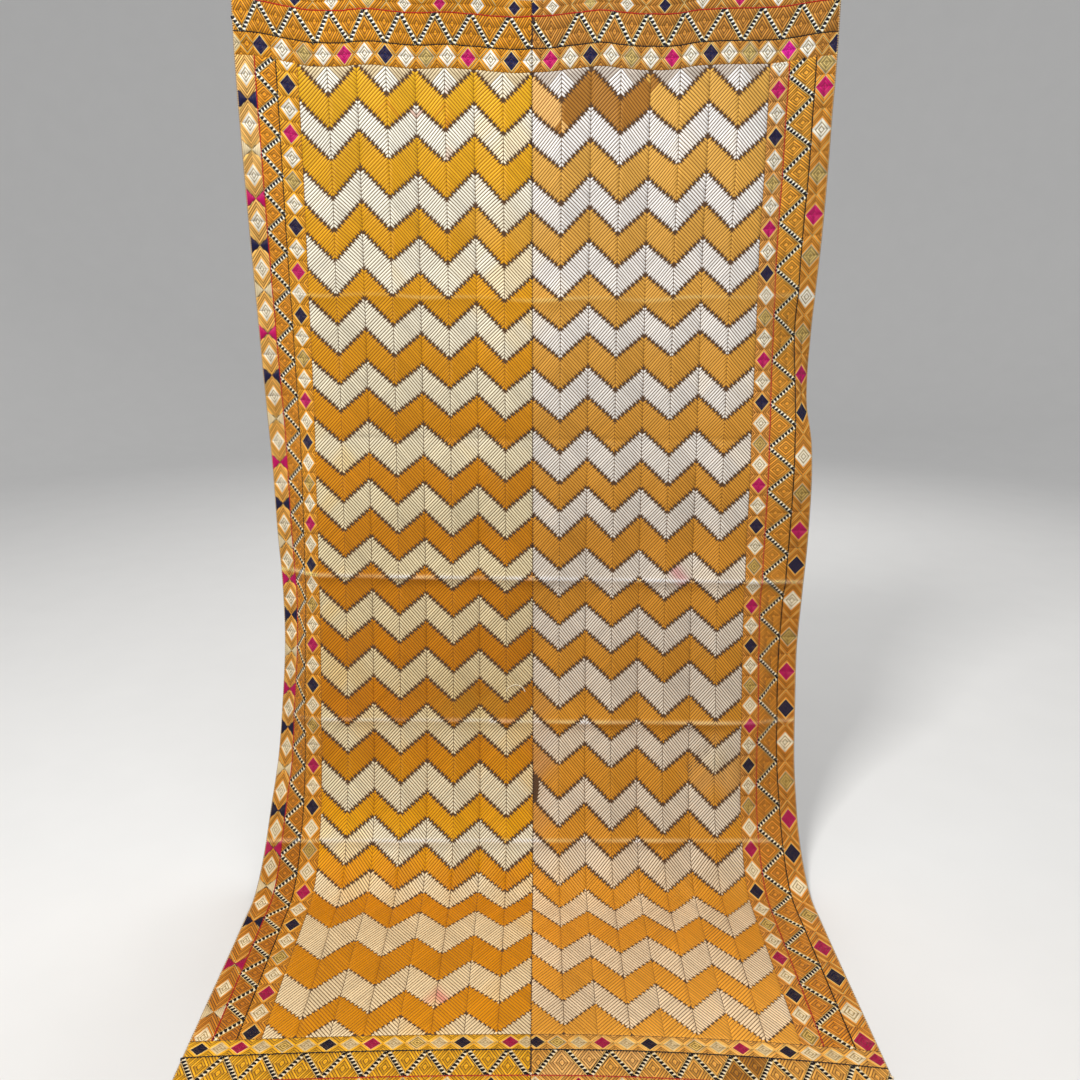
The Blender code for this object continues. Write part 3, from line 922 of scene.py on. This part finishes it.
# The field: bands of floss in zigzags, white and gold in turn. Each row is one white band at
# its peaks: its top and bottom at the outer edge, the same at the seam, and how far the
# valleys lie below the peaks.
field = {
    "periods": 4,
    "pitch": 0.00566,
    "whiteWidth": 0.0049,
    "goldWidth": 0.0054,
    "outline": 0.0003,
    "stagger": 0.0013,
    "point": 0.0062,
    "whiteMitre": 0.0004,
    "goldMitre": 0.0001,
    "shortest": 0.004,
    "left": (
        (0.070, 0.137, 0.070, 0.140, 0.058),
        (0.207, 0.267, 0.207, 0.272, 0.057),
        (0.343, 0.413, 0.346, 0.415, 0.060),
        (0.474, 0.551, 0.485, 0.560, 0.060),
        (0.614, 0.682, 0.630, 0.700, 0.057),
        (0.752, 0.812, 0.770, 0.837, 0.053),
        (0.884, 0.959, 0.907, 0.978, 0.053),
        (1.018, 1.085, 1.043, 1.112, 0.056),
        (1.149, 1.209, 1.177, 1.240, 0.054),
        (1.277, 1.344, 1.302, 1.366, 0.054),
        (1.411, 1.482, 1.428, 1.495, 0.055),
        (1.547, 1.611, 1.558, 1.624, 0.054),
        (1.681, 1.751, 1.689, 1.763, 0.055),
        (1.807, 1.868, 1.825, 1.886, 0.052),
        (1.929, 1.979, 1.938, 1.981, 0.047),
        (2.043, 2.132, 2.031, 2.104, 0.054),
        (2.217, 2.288, 2.176, 2.245, 0.052),
        (2.342, 2.420, 2.318, 2.400, 0.052),
        (2.480, 2.540, 2.460, 2.520, 0.052),
    ),
    "right": (
        (0.070, 0.140, 0.070, 0.142, 0.058),
        (0.212, 0.279, 0.216, 0.281, 0.054),
        (0.354, 0.418, 0.353, 0.419, 0.058),
        (0.491, 0.556, 0.490, 0.560, 0.056),
        (0.631, 0.691, 0.630, 0.694, 0.053),
        (0.769, 0.835, 0.765, 0.835, 0.055),
        (0.914, 0.986, 0.905, 0.976, 0.058),
        (1.048, 1.113, 1.040, 1.104, 0.058),
        (1.198, 1.260, 1.180, 1.245, 0.052),
        (1.330, 1.393, 1.310, 1.372, 0.052),
        (1.458, 1.540, 1.433, 1.504, 0.055),
        (1.604, 1.669, 1.570, 1.638, 0.054),
        (1.742, 1.808, 1.714, 1.776, 0.058),
        (1.873, 1.942, 1.846, 1.913, 0.051),
        (2.000, 2.065, 1.966, 2.026, 0.055),
        (2.133, 2.200, 2.097, 2.165, 0.055),
        (2.260, 2.322, 2.235, 2.295, 0.058),
        (2.400, 2.460, 2.376, 2.440, 0.055),
        (2.540, 2.600, 2.520, 2.580, 0.055),
    ),
}

# Right of the seam a narrow wedge of floss has worn away
bare = {"from": 1.700, "to": 1.785, "wide": 0.014}

# The first gold band right of the seam is in three golds, by how far across
firstGold = ((0.061, "peachGold"), (0.250, "brownGold"), (1.0, "goldRight"))


def boundaryAt(row, lower, share, depth):
    # share runs from 0 at the outer edge to 1 at the seam
    edge, seam = (row[1], row[3]) if lower else (row[0], row[2])
    return edge + (seam - edge) * share + depth


def fieldHalf(side, white, gold):
    rows = field[side]
    outer = cloth["fieldLeft"] if side == "left" else cloth["fieldRight"]
    sign = -1 if side == "left" else 1
    arms = field["periods"] * 2
    for n in range(2 * len(rows) - 1):
        isWhite = n % 2 == 0
        upper = (rows[n // 2], False) if isWhite else (rows[n // 2], True)
        lower = (rows[n // 2], True) if isWhite else (rows[n // 2 + 1], False)
        for arm in range(arms):
            corners = []
            for share, valley in ((1 - arm / arms, arm % 2), (1 - (arm + 1) / arms, (arm + 1) % 2)):
                across = sign * outer * (1 - share)
                high = boundaryAt(*upper, share, valley * upper[0][4])
                low = boundaryAt(*lower, share, valley * lower[0][4])
                corners.append(((across, high), (across, low)))
            if min(c[0][1] for c in corners) > cloth["fieldBottom"]:
                continue
            fillArm(corners, n, side, white if isWhite else gold)


def fillArm(corners, n, side, stitches):
    (nearTop, nearLow), (farTop, farLow) = [np.array(c) for c in corners]
    isWhite = n % 2 == 0
    mitre = field["whiteMitre"] if isWhite else field["goldMitre"]
    atFoot = float(ease((nearTop[1] - 1.90) / 0.08))
    outline, pointed = field["outline"] - 0.0010 * atFoot, field["point"] * (1 - 0.4 * atFoot)
    shape = (nearTop, farTop, farLow, nearLow)
    top = (np.array((0.0, -1.0)), -cloth["fieldTop"] + 0.0010, True)
    bottom = (np.array((0.0, 1.0)), cloth["fieldBottom"], True)
    margins = [outline + sign * field["stagger"] for sign in (-1, 1)]
    staggered = [sidesOf(shape, (m, mitre), (False, True)) + [top, bottom] for m in margins]
    along = (farTop + farLow) / 2 - (nearTop + nearLow) / 2
    along /= np.hypot(*along)
    square = np.array([-along[1], along[0]])
    middle = np.mean(shape, axis=0)
    reach = max(abs(np.dot(np.array(p) - middle, along)) for p in shape)
    count = int(reach / field["pitch"])
    # painted sheen: arms leaning one way are made 4% brighter and the others 3% darker, standing in for the
    # silk's shine that changes with the stitches' direction
    lean = 1.04 if along[0] * along[1] > 0 else 0.97
    width = field["whiteWidth"] if isWhite else field["goldWidth"]
    for k in range(-count, count + 1):
        point = middle + along * k * field["pitch"]
        sides = staggered[k % 2]
        limits = sides
        if side == "right" and middle[0] < 0.08 and bare["from"] < point[1] < bare["to"]:
            share = (point[1] - bare["from"]) / (bare["to"] - bare["from"])
            wide = bare["wide"] * math.sin(math.pi * share)
            limits = sides + [(np.array((-1.0, 0.0)), -wide, False)]
        cut = cutLine(point, square, limits)
        if cut is None:
            continue
        kind = ("white" if isWhite else "gold") + side.capitalize()
        if n == 0 and any(met is top for met in cut[2:]):
            kind = "beige" + side.capitalize()
        if n == 1 and side == "right":
            kind = next(k for far, k in firstGold if point[0] < far)
        lay(stitches, kind, point, square, limits, width, field["shortest"], pointed, tone=lean)


# Ropes: how wide, how long a pair of teeth is at the sides and at the ends, how much they lean, the
# pale lines beside them, and how wide and how pointed each tooth is
ropes = {
    "width": 0.0078, "pairSides": 0.0086, "pairEnds": 0.0084, "lean": 0.25, "pale": 0.0012,
    "paleLong": 0.012, "white": 1.25, "whitePoint": 0.0060, "black": 1.80, "blackPoint": 0.0034,
}
cells = {"ring": 0.0042, "gap": 0.0007, "lattice": 0.0046, "outline": 0.0016, "crossing": 0.0013}

# What a diamond is worked in: the floss of its rings, that of the lines between them and of its
# outline, how many rings, and how wide the lines are
diamonds = {
    "w": {"floss": "cream", "line": "creamLine", "outline": "cream", "rings": 3, "between": 0.0016},
    "c": {"floss": "dimCream", "line": "creamLine", "outline": "pale", "rings": 3, "between": 0.0014},
    "N": {"floss": "navy", "line": None, "outline": "pale", "rings": 3, "between": 0.0003},
    "M": {"floss": "magenta", "line": None, "outline": "pale", "rings": 3, "between": 0.0003},
    "P": {"floss": "pink", "line": None, "outline": "pale", "rings": 3, "between": 0.0003},
    "K": {"floss": "khaki", "line": "pale", "outline": "dimCream", "rings": 3, "between": 0.0015},
}


# Rings of floss round a point, each side of them a straight stitch, cut to some sides
def ringed(stitches, centre, half, sides, farthest, rings):
    # rings are (floss, from, to, tone), measured square to the diamond's sides
    size = math.hypot(*half)
    for signAcross in (-1, 1):
        for signDown in (-1, 1):
            out = np.array([signAcross * half[1], signDown * half[0]]) / size
            along = np.array([-out[1], out[0]])
            quarter = [
                (np.array((-signAcross, 0.0)), -signAcross * centre[0] + 0.0002, True),
                (np.array((0.0, -signDown)), -signDown * centre[1] + 0.0002, True),
            ]
            for kind, low, high, tone in rings:
                if low < farthest:
                    point = centre + out * (low + high) / 2
                    lay(stitches, kind, point, along, sides + quarter, high - low, tone=tone)


# gold rings from one reach to another, brighter and duller in turn
def goldRings(gold, first, last, step):
    count = max(1, round((last - first) / step))
    step = (last - first) / count
    return [(gold, first + step * n, first + step * (n + 1) - cells["gap"], 0.80 if n % 2 else 1.14)
            for n in range(count)]


def diamond(stitches, centre, half, letter, cell, gold, margins, crossing):
    out = np.array([half[1], half[0]]) / math.hypot(*half)
    farthest = max(np.dot(np.abs(np.array(c) - centre), out) for c in cell)
    rings = []
    depth = 0.0
    if letter != "g":
        worked = diamonds[letter]
        depth = half[0] * half[1] / math.hypot(*half)
        step = (depth + worked["between"]) / worked["rings"]
        for n in range(worked["rings"]):
            rings.append((worked["floss"], n * step, (n + 1) * step - worked["between"], 1.0))
            if worked["line"] and n < worked["rings"] - 1:
                rings.append((worked["line"], (n + 1) * step - worked["between"], (n + 1) * step, 1.0))
        rings.append((worked["outline"], depth, depth + cells["outline"], 1.0))
        depth += cells["outline"]
    at = np.dot(crossing, out)
    if depth + 0.0015 < at < farthest - 0.002:
        rings += goldRings(gold, depth, at, cells["ring"])
        rings.append(("pale", at, at + cells["crossing"], 0.95))
        depth = at + cells["crossing"]
    if farthest - depth > 0.002:
        rings += goldRings(gold, depth, farthest, cells["ring"])
    ringed(stitches, centre, half, sidesOf(cell, margins, (True,)), farthest, rings)


# A row of diamonds between two lines. Upright rows run down the cloth.
def diamondRow(stitches, upright, edges, limits, stops, letters, half, gold, hourglass=None):
    low, high = min(edges), max(edges)
    middle = (low + high) / 2
    for n, (at, letter) in enumerate(zip(stops, letters)):
        before = (stops[n - 1] + at) / 2 if n else limits[0]
        after = (stops[n + 1] + at) / 2 if n < len(stops) - 1 else limits[1]
        first, last = max(limits[0], before), min(limits[1], after)
        if last - first < 0.003:
            continue
        gap = (stops[min(n + 1, len(stops) - 1)] - stops[max(n - 1, 0)]) / 4
        if upright:
            cell, centre = rectangle(low, high, first, last), (middle, at)
            margins, crossing = (-0.0001, 0.0002), (0.0, gap)
        else:
            cell, centre = rectangle(first, last, low, high), (at, middle)
            margins, crossing = (0.0002, -0.0001), (gap, 0.0)
        if hourglass:
            edge = (high - low) / 2 * hourglass["slope"]
            above = 0.0 if n == 0 else edge
            below = 0.0 if n == len(stops) - 1 else edge
            cell = (
                (middle, first), (high, first + above), (high, last - below),
                (middle, last), (low, last - below), (low, first + above),
            )
            margins = (0.0004,)
        diamond(stitches, np.array(centre), half, letter, cell, gold, margins, crossing)
    if hourglass:
        for (a, b), letter in zip(zip(stops, stops[1:]), hourglass["letters"]):
            at = (a + b) / 2
            tall = (high - low) / 2 * hourglass["slope"]
            kind = diamonds[letter]["floss"]
            for edge in (low, high):
                shape = ((edge, at - tall), (edge, at + tall), (middle, at))
                sides = sidesOf(shape, (0.0006, 0.0004, 0.0004), (True,))
                for k in range(5):
                    point = np.array([edge + (middle - edge) * (k + 0.6) / 5.1, at])
                    lay(stitches, kind, point, np.array((0.0, 1.0)), sides, 0.0040)


# Rope lines: dark teeth set against white ones, with a pale line along both sides
def ropeLine(stitches, a, b, pair, limits):
    a, b = np.array(a), np.array(b)
    along = b - a
    long = np.hypot(*along)
    along /= long
    over = np.array([-along[1], along[0]])
    over *= 1 if over[0] > 0 else -1
    count = max(2, round(long / pair)) * 2
    for k in range(count):
        middle = a + along * long * (k + 0.5) / count
        if not all(low < value < high for value, (low, high) in zip(middle, limits)):
            continue
        slant = (over + ropes["lean"] * along) * ropes["width"] / 2
        if k % 2:
            wide, tips = long / count * ropes["white"], (0.0003, ropes["whitePoint"])
            stitches.add("ropeWhite", middle + slant, middle - slant, wide, tips, lift=1.0)
        else:
            wide, tips = long / count * ropes["black"], (0.0003, ropes["blackPoint"])
            stitches.add("black", middle - slant, middle + slant, wide, tips, lift=1.15)
    for sign in (-1, 1):
        shift = over * sign * (ropes["width"] / 2 + ropes["pale"] / 2)
        count = max(2, round(long / ropes["paleLong"]))
        for k in range(count):
            first = a + shift + along * long * k / count
            last = a + shift + along * long * (k + 1) / count
            if all(low < value < high for value, (low, high) in zip((first + last) / 2, limits)):
                stitches.add("pale", first, last, ropes["pale"], lift=0.9)


def zigzagRow(lattice, rope, points, upright, gold, limits, pair, golds=None):
    clear = ropes["width"] / 2 + ropes["pale"] + 0.0003
    frameSides = []
    for n, (low, high) in enumerate(limits):
        out = np.array((1.0, 0.0)) if n == 0 else np.array((0.0, 1.0))
        frameSides += [(out, high, True), (-out, -low, True)]
    for k, (a, b, c) in enumerate(zip(points, points[1:], points[2:])):
        line, over = (1, 0) if upright else (0, 1)
        high = abs(b[over] - a[over])
        reach = abs(c[line] - a[line]) / 2
        centre = np.zeros(2)
        centre[line] = b[line]
        centre[over] = a[over] + (b[over] - a[over]) * 0.36
        half = (high, reach) if upright else (reach, high)
        kind = (golds or {}).get(k, gold)
        sides = sidesOf((a, b, c), (clear, clear, 0.0013), (True,)) + frameSides
        low, top = min(a[line], c[line]), max(a[line], c[line])
        if top < limits[line][0] + 0.004 or low > limits[line][1] - 0.004:
            continue
        nested(lattice, centre, half, sides, (a, b, c), kind)
    for a, b in zip(points, points[1:]):
        ropeLine(rope, a, b, pair, limits)


def nested(stitches, centre, half, sides, corners, gold):
    out = np.array([half[1], half[0]]) / math.hypot(*half)
    farthest = max(np.dot(np.abs(np.array(c) - centre), out) for c in corners)
    ringed(stitches, centre, half, sides, farthest, goldRings(gold, 0.0, farthest, cells["lattice"]))


# Where the border's lines run
lines = {
    "blackLeft": -0.5326, "redLeft": -0.5770, "redRight": 0.5335, "blackRight": 0.5895,
    "topRed": 0.034, "topBlack": 0.095, "bottomBlack": 2.411, "bottomRed": 2.467,
}
leftEdge, rightEdge = -leftWidth + 0.0012, rightWidth - 0.0012
sideLimits = (cloth["fieldTop"] - 0.002, cloth["fieldBottom"])
bothSides = ("left", "right")


def forBoth(name, material, behind=False):
    return {side: Stitches(name + side.capitalize(), material, behind) for side in bothSides}


whiteFields = forBoth("whiteField", flossWhite)
goldFields = forBoth("goldField", flossGold)
columns = forBoth("sideDiamonds", flossGold)
lattice = forBoth("sideLattice", flossGold)
rope = forBoth("ropes", flossBright)
ends = forBoth("endBorders", flossGold)
couched = forBoth("couchedLines", flossBright)
behind = forBoth("reverse", flossGold, True)
for side in bothSides:
    fieldHalf(side, whiteFields[side], goldFields[side])


def evenly(first, step, count):
    return [first + step * n for n in range(count)]


def millimetres(*values):
    return [v / 1000 for v in values]


# The side columns from the field outward: a row of diamonds, a zigzag rope that begins at a place
# down the cloth and turns at equal steps, and a second row of diamonds
sideRows = {
    "left": {
        "inner": {
            "edges": (-cloth["fieldLeft"], lines["blackLeft"]),
            "stops": evenly(0.182 - 0.04739, 0.04739, 48),
            "letters": "".join("w" + a for a in "NMKNMNKMNKMNKMNKMNKMNKMN"),
            "half": (0.0160, 0.0190),
            "gold": "innerGoldLeft",
        },
        "outer": {
            "edges": (lines["redLeft"], leftEdge),
            "stops": millimetres(177, 272, 374, 467, 565, 655, 750, 842, 944, 1042, 1137, 1223, 1315, 1395,
                                 1486, 1575, 1665, 1762, 1844, 1924, 2012, 2124, 2252, 2367),
            "letters": "w" * 24,
            "half": (0.0138, 0.0198),
            "gold": "outerGoldLeft",
            "hourglass": {"letters": "NcMNcMNcMNcMNcMNcNMcNMc", "slope": 0.95},
        },
        "zigzag": {"gold": "zigzagGoldLeft", "first": 0.172, "step": 0.03925, "count": 62},
    },
    "right": {
        "inner": {
            "edges": (cloth["fieldRight"], lines["redRight"]),
            "stops": evenly(0.192 - 0.04705, 0.04705, 48),
            "letters": ("w" + "MwNwKw" * 8)[:48],
            "half": (0.0158, 0.0188),
            "gold": "innerGoldRight",
        },
        "outer": {
            "edges": (lines["blackRight"], rightEdge),
            "stops": millimetres(152, 199, 284, 372, 455, 539, 625, 704, 794, 877, 974, 1057, 1143, 1225, 1310,
                                 1399, 1482, 1569, 1649, 1739, 1821, 1895, 1969, 2047, 2137, 2212, 2295, 2359),
            "letters": "KMwKMKwKMNwKMNwKMNwKMNwKMNwM",
            "half": (0.0192, 0.0215),
            "gold": "outerGoldRight",
        },
        "zigzag": {"gold": "zigzagGoldRight", "first": 0.167, "step": 0.0492, "count": 51},
    },
}
for side in bothSides:
    for row in ("inner", "outer"):
        diamondRow(columns[side], True, limits=sideLimits, **sideRows[side][row])
    red, black = lines["red" + side.capitalize()], lines["black" + side.capitalize()]
    turns = sideRows[side]["zigzag"]
    points = [(red if n % 2 else black, turns["first"] + turns["step"] * (n - 3)) for n in range(turns["count"])]
    limits = ((red - 0.001, black + 0.001), sideLimits)
    zigzagRow(lattice[side], rope[side], points, True, turns["gold"], limits, ropes["pairSides"])

# The ends: an outer row of diamonds, a zigzag rope and an inner row, each half on its own width,
# with the few triangles that are in another gold
endRows = {
    "top": {
        "edge": 0.0012,
        "field": cloth["fieldTop"] - 0.0010,
        "left": {
            "outer": (millimetres(-562, -487, -412, -337, -262, -190, -112, -36), "wNwKwMwN"),
            "inner": (millimetres(-617, -590, -563, -518, -473, -434, -390, -348, -305, -262, -220, -176, -133,
                                  -86, -43, -2), "cgNwKwMwNwKwMwNw"),
            "tops": millimetres(-640, -565, -492, -418, -346, -272, -200, -126, -46, 30),
            "bottoms": millimetres(-680, -598, -527, -448, -378, -305, -238, -165, -88, -5, 60),
        },
        "right": {
            "outer": (millimetres(3, 42, 120, 195, 272, 350, 425, 503, 580), "NwKwNwMwN"),
            "inner": (millimetres(0, 38, 79, 121, 164, 206, 246, 290, 329, 370, 408, 450, 487, 530, 570, 600,
                                  628), "wMwNwKwMwNwKwPwgN"),
            "tops": millimetres(97, 170, 238, 314, 395, 472, 552, 628, 700),
            "bottoms": millimetres(58, 134, 205, 277, 354, 434, 514, 592, 660),
            "golds": {14: "brownGold"},
        },
    },
    "bottom": {
        "edge": cloth["length"] - 0.0012,
        "field": cloth["fieldBottom"] + 0.001,
        "left": {
            "outer": (millimetres(-600, -524, -448, -372, -296, -220, -144, -68), "wNwMwKwN"),
            "inner": (millimetres(-593, -558, -522, -483, -443, -403, -365, -325, -286, -247, -205, -165, -123,
                                  -82, -37, -8), "NcMcKcNcMcKcNcMc"),
            "tops": millimetres(-617, -543, -475, -402, -328, -255, -185, -113, -40, 32),
            "bottoms": millimetres(-655, -580, -505, -437, -362, -290, -218, -146, -75, -5, 60),
        },
        "right": {
            "outer": (millimetres(8, 84, 160, 236, 312, 388, 464, 540, 616), "wMwNwKwMw"),
            "inner": (millimetres(10, 48, 88, 131, 175, 216, 258, 300, 340, 382, 423, 465, 505, 545, 583, 620),
                      "NKcMcNcKcMcNwcwM"),
            "tops": millimetres(65, 142, 217, 291, 362, 432, 505, 573, 640, 710),
            "bottoms": millimetres(105, 182, 257, 327, 398, 470, 540, 606, 676),
            "golds": {0: "peachGold", 2: "peachGold", 7: "brownGold", 8: "brownGold"},
        },
    },
}


# Two lists taken in turn
def between(first, second):
    return [v for pair in zip(first, second) for v in pair] + list(first[len(second):])


def endBorder(end, side):
    border, rows = endRows[end], endRows[end][side]
    red, black = lines[end + "Red"], lines[end + "Black"]
    reach = (leftEdge, -0.0006) if side == "left" else (0.0006, rightEdge)
    gold = "endGold" + side.capitalize()
    for row, edges, wide, clear in (("outer", (border["edge"], red), 0.0120, 0.0030),
                                    ("inner", (border["field"], black), 0.0156, 0.0040)):
        half = (wide, (max(edges) - min(edges)) / 2 - clear)
        diamondRow(ends[side], False, edges, reach, *rows[row], half, gold)
    high, low = min(red, black), max(red, black)
    tops = [(across, high) for across in rows["tops"]]
    bottoms = [(across, low) for across in rows["bottoms"]]
    points = between(tops, bottoms) if tops[0][0] < bottoms[0][0] else between(bottoms, tops)
    zigzagRow(ends[side], rope[side], points, False, gold, (reach, (high, low)), ropes["pairEnds"],
              rows.get("golds"))


for end in ("top", "bottom"):
    for side in bothSides:
        endBorder(end, side)


# Beside the seam the zigzags of the right width begin with an arm of their own
def firstArm(red, black, foot, head, shapes):
    clear = ropes["width"] / 2 + ropes["pale"] + 0.0003
    limits = ((0.0, 1.0), (min(red, black), max(red, black)))
    ropeLine(rope["right"], foot, head, ropes["pairEnds"], limits)
    for shape, margins, kind in shapes:
        corners = np.array(shape, float)
        centre = corners.mean(axis=0)
        sides = sidesOf(shape, [clear if m else 0.0013 for m in margins], (True,))
        nested(ends["right"], centre, (0.038, abs(red - black)), sides, corners, kind)


red, black = lines["topRed"], lines["topBlack"]
firstArm(red, black, (0.003, 0.045), (0.038, black), (
    (((0.0005, 0.050), (0.038, black), (0.0005, black)), (1, 0, 0), "endGoldRight"),
    (((0.0005, red), (0.097, red), (0.058, black), (0.038, black), (0.003, 0.045)), (0, 1, 0, 1, 0),
     "endGoldRight"),
))
red, black = lines["bottomRed"], lines["bottomBlack"]
firstArm(red, black, (0.008, red), (0.045, black), (
    (((0.0005, black), (0.045, black), (0.008, red), (0.0005, red)), (0, 1, 0, 0), "endGoldRight"),
    (((0.008, red), (0.045, black), (0.065, black), (0.105, red)), (1, 0, 1, 0), "peachGold"),
))

# Couched lines: laid threads in black and red, held down stitch by stitch
for side, colour in (("left", "black"), ("left", "red"), ("right", "red"), ("right", "black")):
    across = lines[colour + side.capitalize()]
    couched[side].chain(colour, ((across, sideLimits[0]), (across, sideLimits[1])))
for end, colour in (("top", "red"), ("top", "black"), ("bottom", "black"), ("bottom", "red")):
    down = lines[end + colour.capitalize()]
    couched["left"].chain(colour, ((leftEdge, down), (0.0, down)))
    couched["right"].chain(colour, ((0.0, down), (rightEdge, down)))

# Edges: pale overcast stitches over the selvedges and both hems
edging = {"pitch": 0.0045, "long": 0.0030, "wide": 0.0034, "hemLong": 0.0028, "hemWide": 0.0036}
for side, edge, sign in (("left", -leftWidth, 1), ("right", rightWidth, -1)):
    for k in range(int(cloth["length"] / edging["pitch"])):
        down = (k + 0.5) * edging["pitch"]
        first = (edge + sign * 0.0003, down - 0.0006)
        last = (edge + sign * edging["long"], down + 0.0008)
        couched[side].add("selvedge", first, last, edging["wide"], lift=1.1)
    for down, sign in ((0.0, 1), (cloth["length"], -1)):
        for k in range(int(abs(edge) / edging["pitch"])):
            across = math.copysign((k + 0.5) * edging["pitch"], edge)
            first = (across, down + sign * 0.0003)
            last = (across + 0.0008, down + sign * edging["hemLong"])
            couched[side].add("selvedge", first, last, edging["hemWide"], lift=1.0)

# The centre seam, whipped edge to edge
whipping = {"pitch": 0.0050, "half": 0.0021, "wide": 0.0016, "wideBehind": 0.0020, "endsBehind": 1.9}
seam = Stitches("seamFront", flossBright)
seamBack = Stitches("seamBack", flossBright, behind=True)
for k in range(int(cloth["length"] / whipping["pitch"])):
    down = (k + 0.5) * whipping["pitch"]
    lean = 0.0010 + 0.0012 * dice.random()
    left, right, tips = -whipping["half"], whipping["half"], (0.0008, 0.0008)
    seam.add("thread", (left, down + lean), (right, down - lean), whipping["wide"], tips, lift=1.25)
    if down < whipping["endsBehind"]:
        seamBack.add("thread", (left, down - lean), (right, down + lean), whipping["wideBehind"], tips)

# A curled arc of raised pale stitches lies over the left field
curl = {"across": -0.040, "down": 1.530, "radius": 0.023, "from": 15, "to": 165, "wide": 0.0026}
bend = [math.radians(curl["from"] + (curl["to"] - curl["from"]) * k / 8) for k in range(9)]
curledArc = [(curl["across"] + curl["radius"] * math.cos(b), curl["down"] - curl["radius"] * math.sin(b))
         for b in bend]
couched["left"].chain("ropeWhite", curledArc, curl["wide"], 0.006, 2.2, 0)

# The reverse shows a small dash wherever the floss dips through the ground
reverse = {"long": 0.0022, "wide": 0.0016, "shortest": 0.009, "lowest": 1.9}
for side in bothSides:
    for stitches in (whiteFields[side], goldFields[side]):
        for row, kind in zip(stitches.rows, stitches.kinds):
            start, end = np.array(row[0:2]), np.array(row[2:4])
            long = np.hypot(*(end - start))
            if long < reverse["shortest"] or start[1] > reverse["lowest"]:
                continue
            step = (end - start) / long * reverse["long"]
            behind[side].add(kind, end, end + step, reverse["wide"], tone=0.85)

for side in bothSides:
    for group in (whiteFields, goldFields, columns, lattice, rope, ends, couched, behind):
        piece = group[side].make()
        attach(piece, "root")
for piece in (seam.make(), seamBack.make()):
    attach(piece, "root")
print("embroidery: all pieces have", sum(total), "triangles together")

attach(leftGround, "root")
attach(rightGround, "root")
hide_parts("panel_left")
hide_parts("panel_right")


# The rod and clips keep their solid shapes
def finish(node, material):
    node.data.materials.clear()
    node.data.materials.append(material)


finish(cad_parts["rod"], blackPaint)
for n in range(1, 7):
    finish(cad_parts["clip_" + str(n)], blackCoat)
print("holder: rod and clips finished")

# Camera
view = {"lens": 30.23, "across": 0.0165, "before": 1.709, "above": 1.327, "pitch": 15.7}
lens = bpy.data.cameras.new("camera")
lens.lens = view["lens"]
lens.sensor_width = 36
camera = bpy.data.objects.new("camera", lens)
bpy.context.scene.collection.objects.link(camera)
camera.location = (view["across"], -rodDepth - view["before"], floorHeight + view["above"])
camera.rotation_euler = (math.radians(90 - view["pitch"]), 0, 0)
bpy.context.scene.camera = camera
bpy.context.scene.view_settings.view_transform = "Standard"


# A pale studio: a round floor that sweeps up into a low wall on all sides
studio = {"floor": 5.5, "sweep": 2.2, "wall": 6.0, "colour": (232, 230, 226), "sides": 96}


def studioBowl():
    profile = [(0.0, 0.0), (studio["floor"], 0.0)]
    for k in range(1, 13):
        turn = math.pi / 2 * k / 12
        profile.append((studio["floor"] + studio["sweep"] * math.sin(turn),
                        studio["sweep"] * (1 - math.cos(turn))))
    profile.append((studio["floor"] + studio["sweep"], studio["wall"]))
    turns = np.arange(studio["sides"]) * 2 * math.pi / studio["sides"]
    points = [(0.0, 0.0, 0.0)]
    for out, high in profile[1:]:
        points += [(out * math.cos(t), out * math.sin(t), high) for t in turns]
    count = studio["sides"]
    faces = [(0, 1 + k, 1 + (k + 1) % count) for k in range(count)]
    for ring in range(len(profile) - 2):
        base = 1 + ring * count
        faces += [(base + k, base + count + k, base + count + (k + 1) % count, base + (k + 1) % count)
                  for k in range(count)]
    mesh = bpy.data.meshes.new("studio")
    mesh.from_pydata(points, [], faces)
    mesh.shade_smooth()
    bowl = bpy.data.objects.new("studio", mesh)
    bpy.context.scene.collection.objects.link(bowl)
    bowl.location = (0, 0, floorHeight - 0.0005)
    bowl.visible_diffuse = False
    return bowl


def stageMaterial(name, colour):
    paint = Paint(name)
    grain = paint.noise(paint.node("ShaderNodeTexCoord", {}, output=3), 6.0, 2.0)
    paint.set(Base_Color=paint.scaled(tuple(linear(colour)), 0.98 + 0.04 * grain), Roughness=0.8)
    return paint.material


bowl = studioBowl()
bowl.data.materials.append(stageMaterial("paleStudio", studio["colour"]))

world = bpy.data.worlds.new("studio")
bpy.context.scene.world = world
world.use_nodes = True
world.node_tree.nodes["Background"].inputs["Color"].default_value = (0.94, 0.96, 1.0, 1)
world.node_tree.nodes["Background"].inputs["Strength"].default_value = 0.40

lamps = (
    {"name": "key", "place": (-1.5, -2.6, 2.3), "size": 1.0, "power": 158},
    {"name": "fill", "place": (2.2, -3.4, 0.6), "size": 2.4, "power": 21},
    {"name": "back", "place": (0.8, 3.0, 1.8), "size": 2.4, "power": 70},
)
for lamp in lamps:
    light = bpy.data.lights.new(lamp["name"], "AREA")
    light.size = lamp["size"]
    light.energy = lamp["power"]
    holder = bpy.data.objects.new(lamp["name"], light)
    bpy.context.scene.collection.objects.link(holder)
    holder.location = lamp["place"]
    x, y, z = np.array((0, -0.2, -0.9)) - np.array(lamp["place"])
    holder.rotation_euler = (math.atan2(math.hypot(x, y), -z), 0, math.atan2(x, -y) + math.pi)
print("stage: camera, studio and", len(lamps), "soft lamps set")
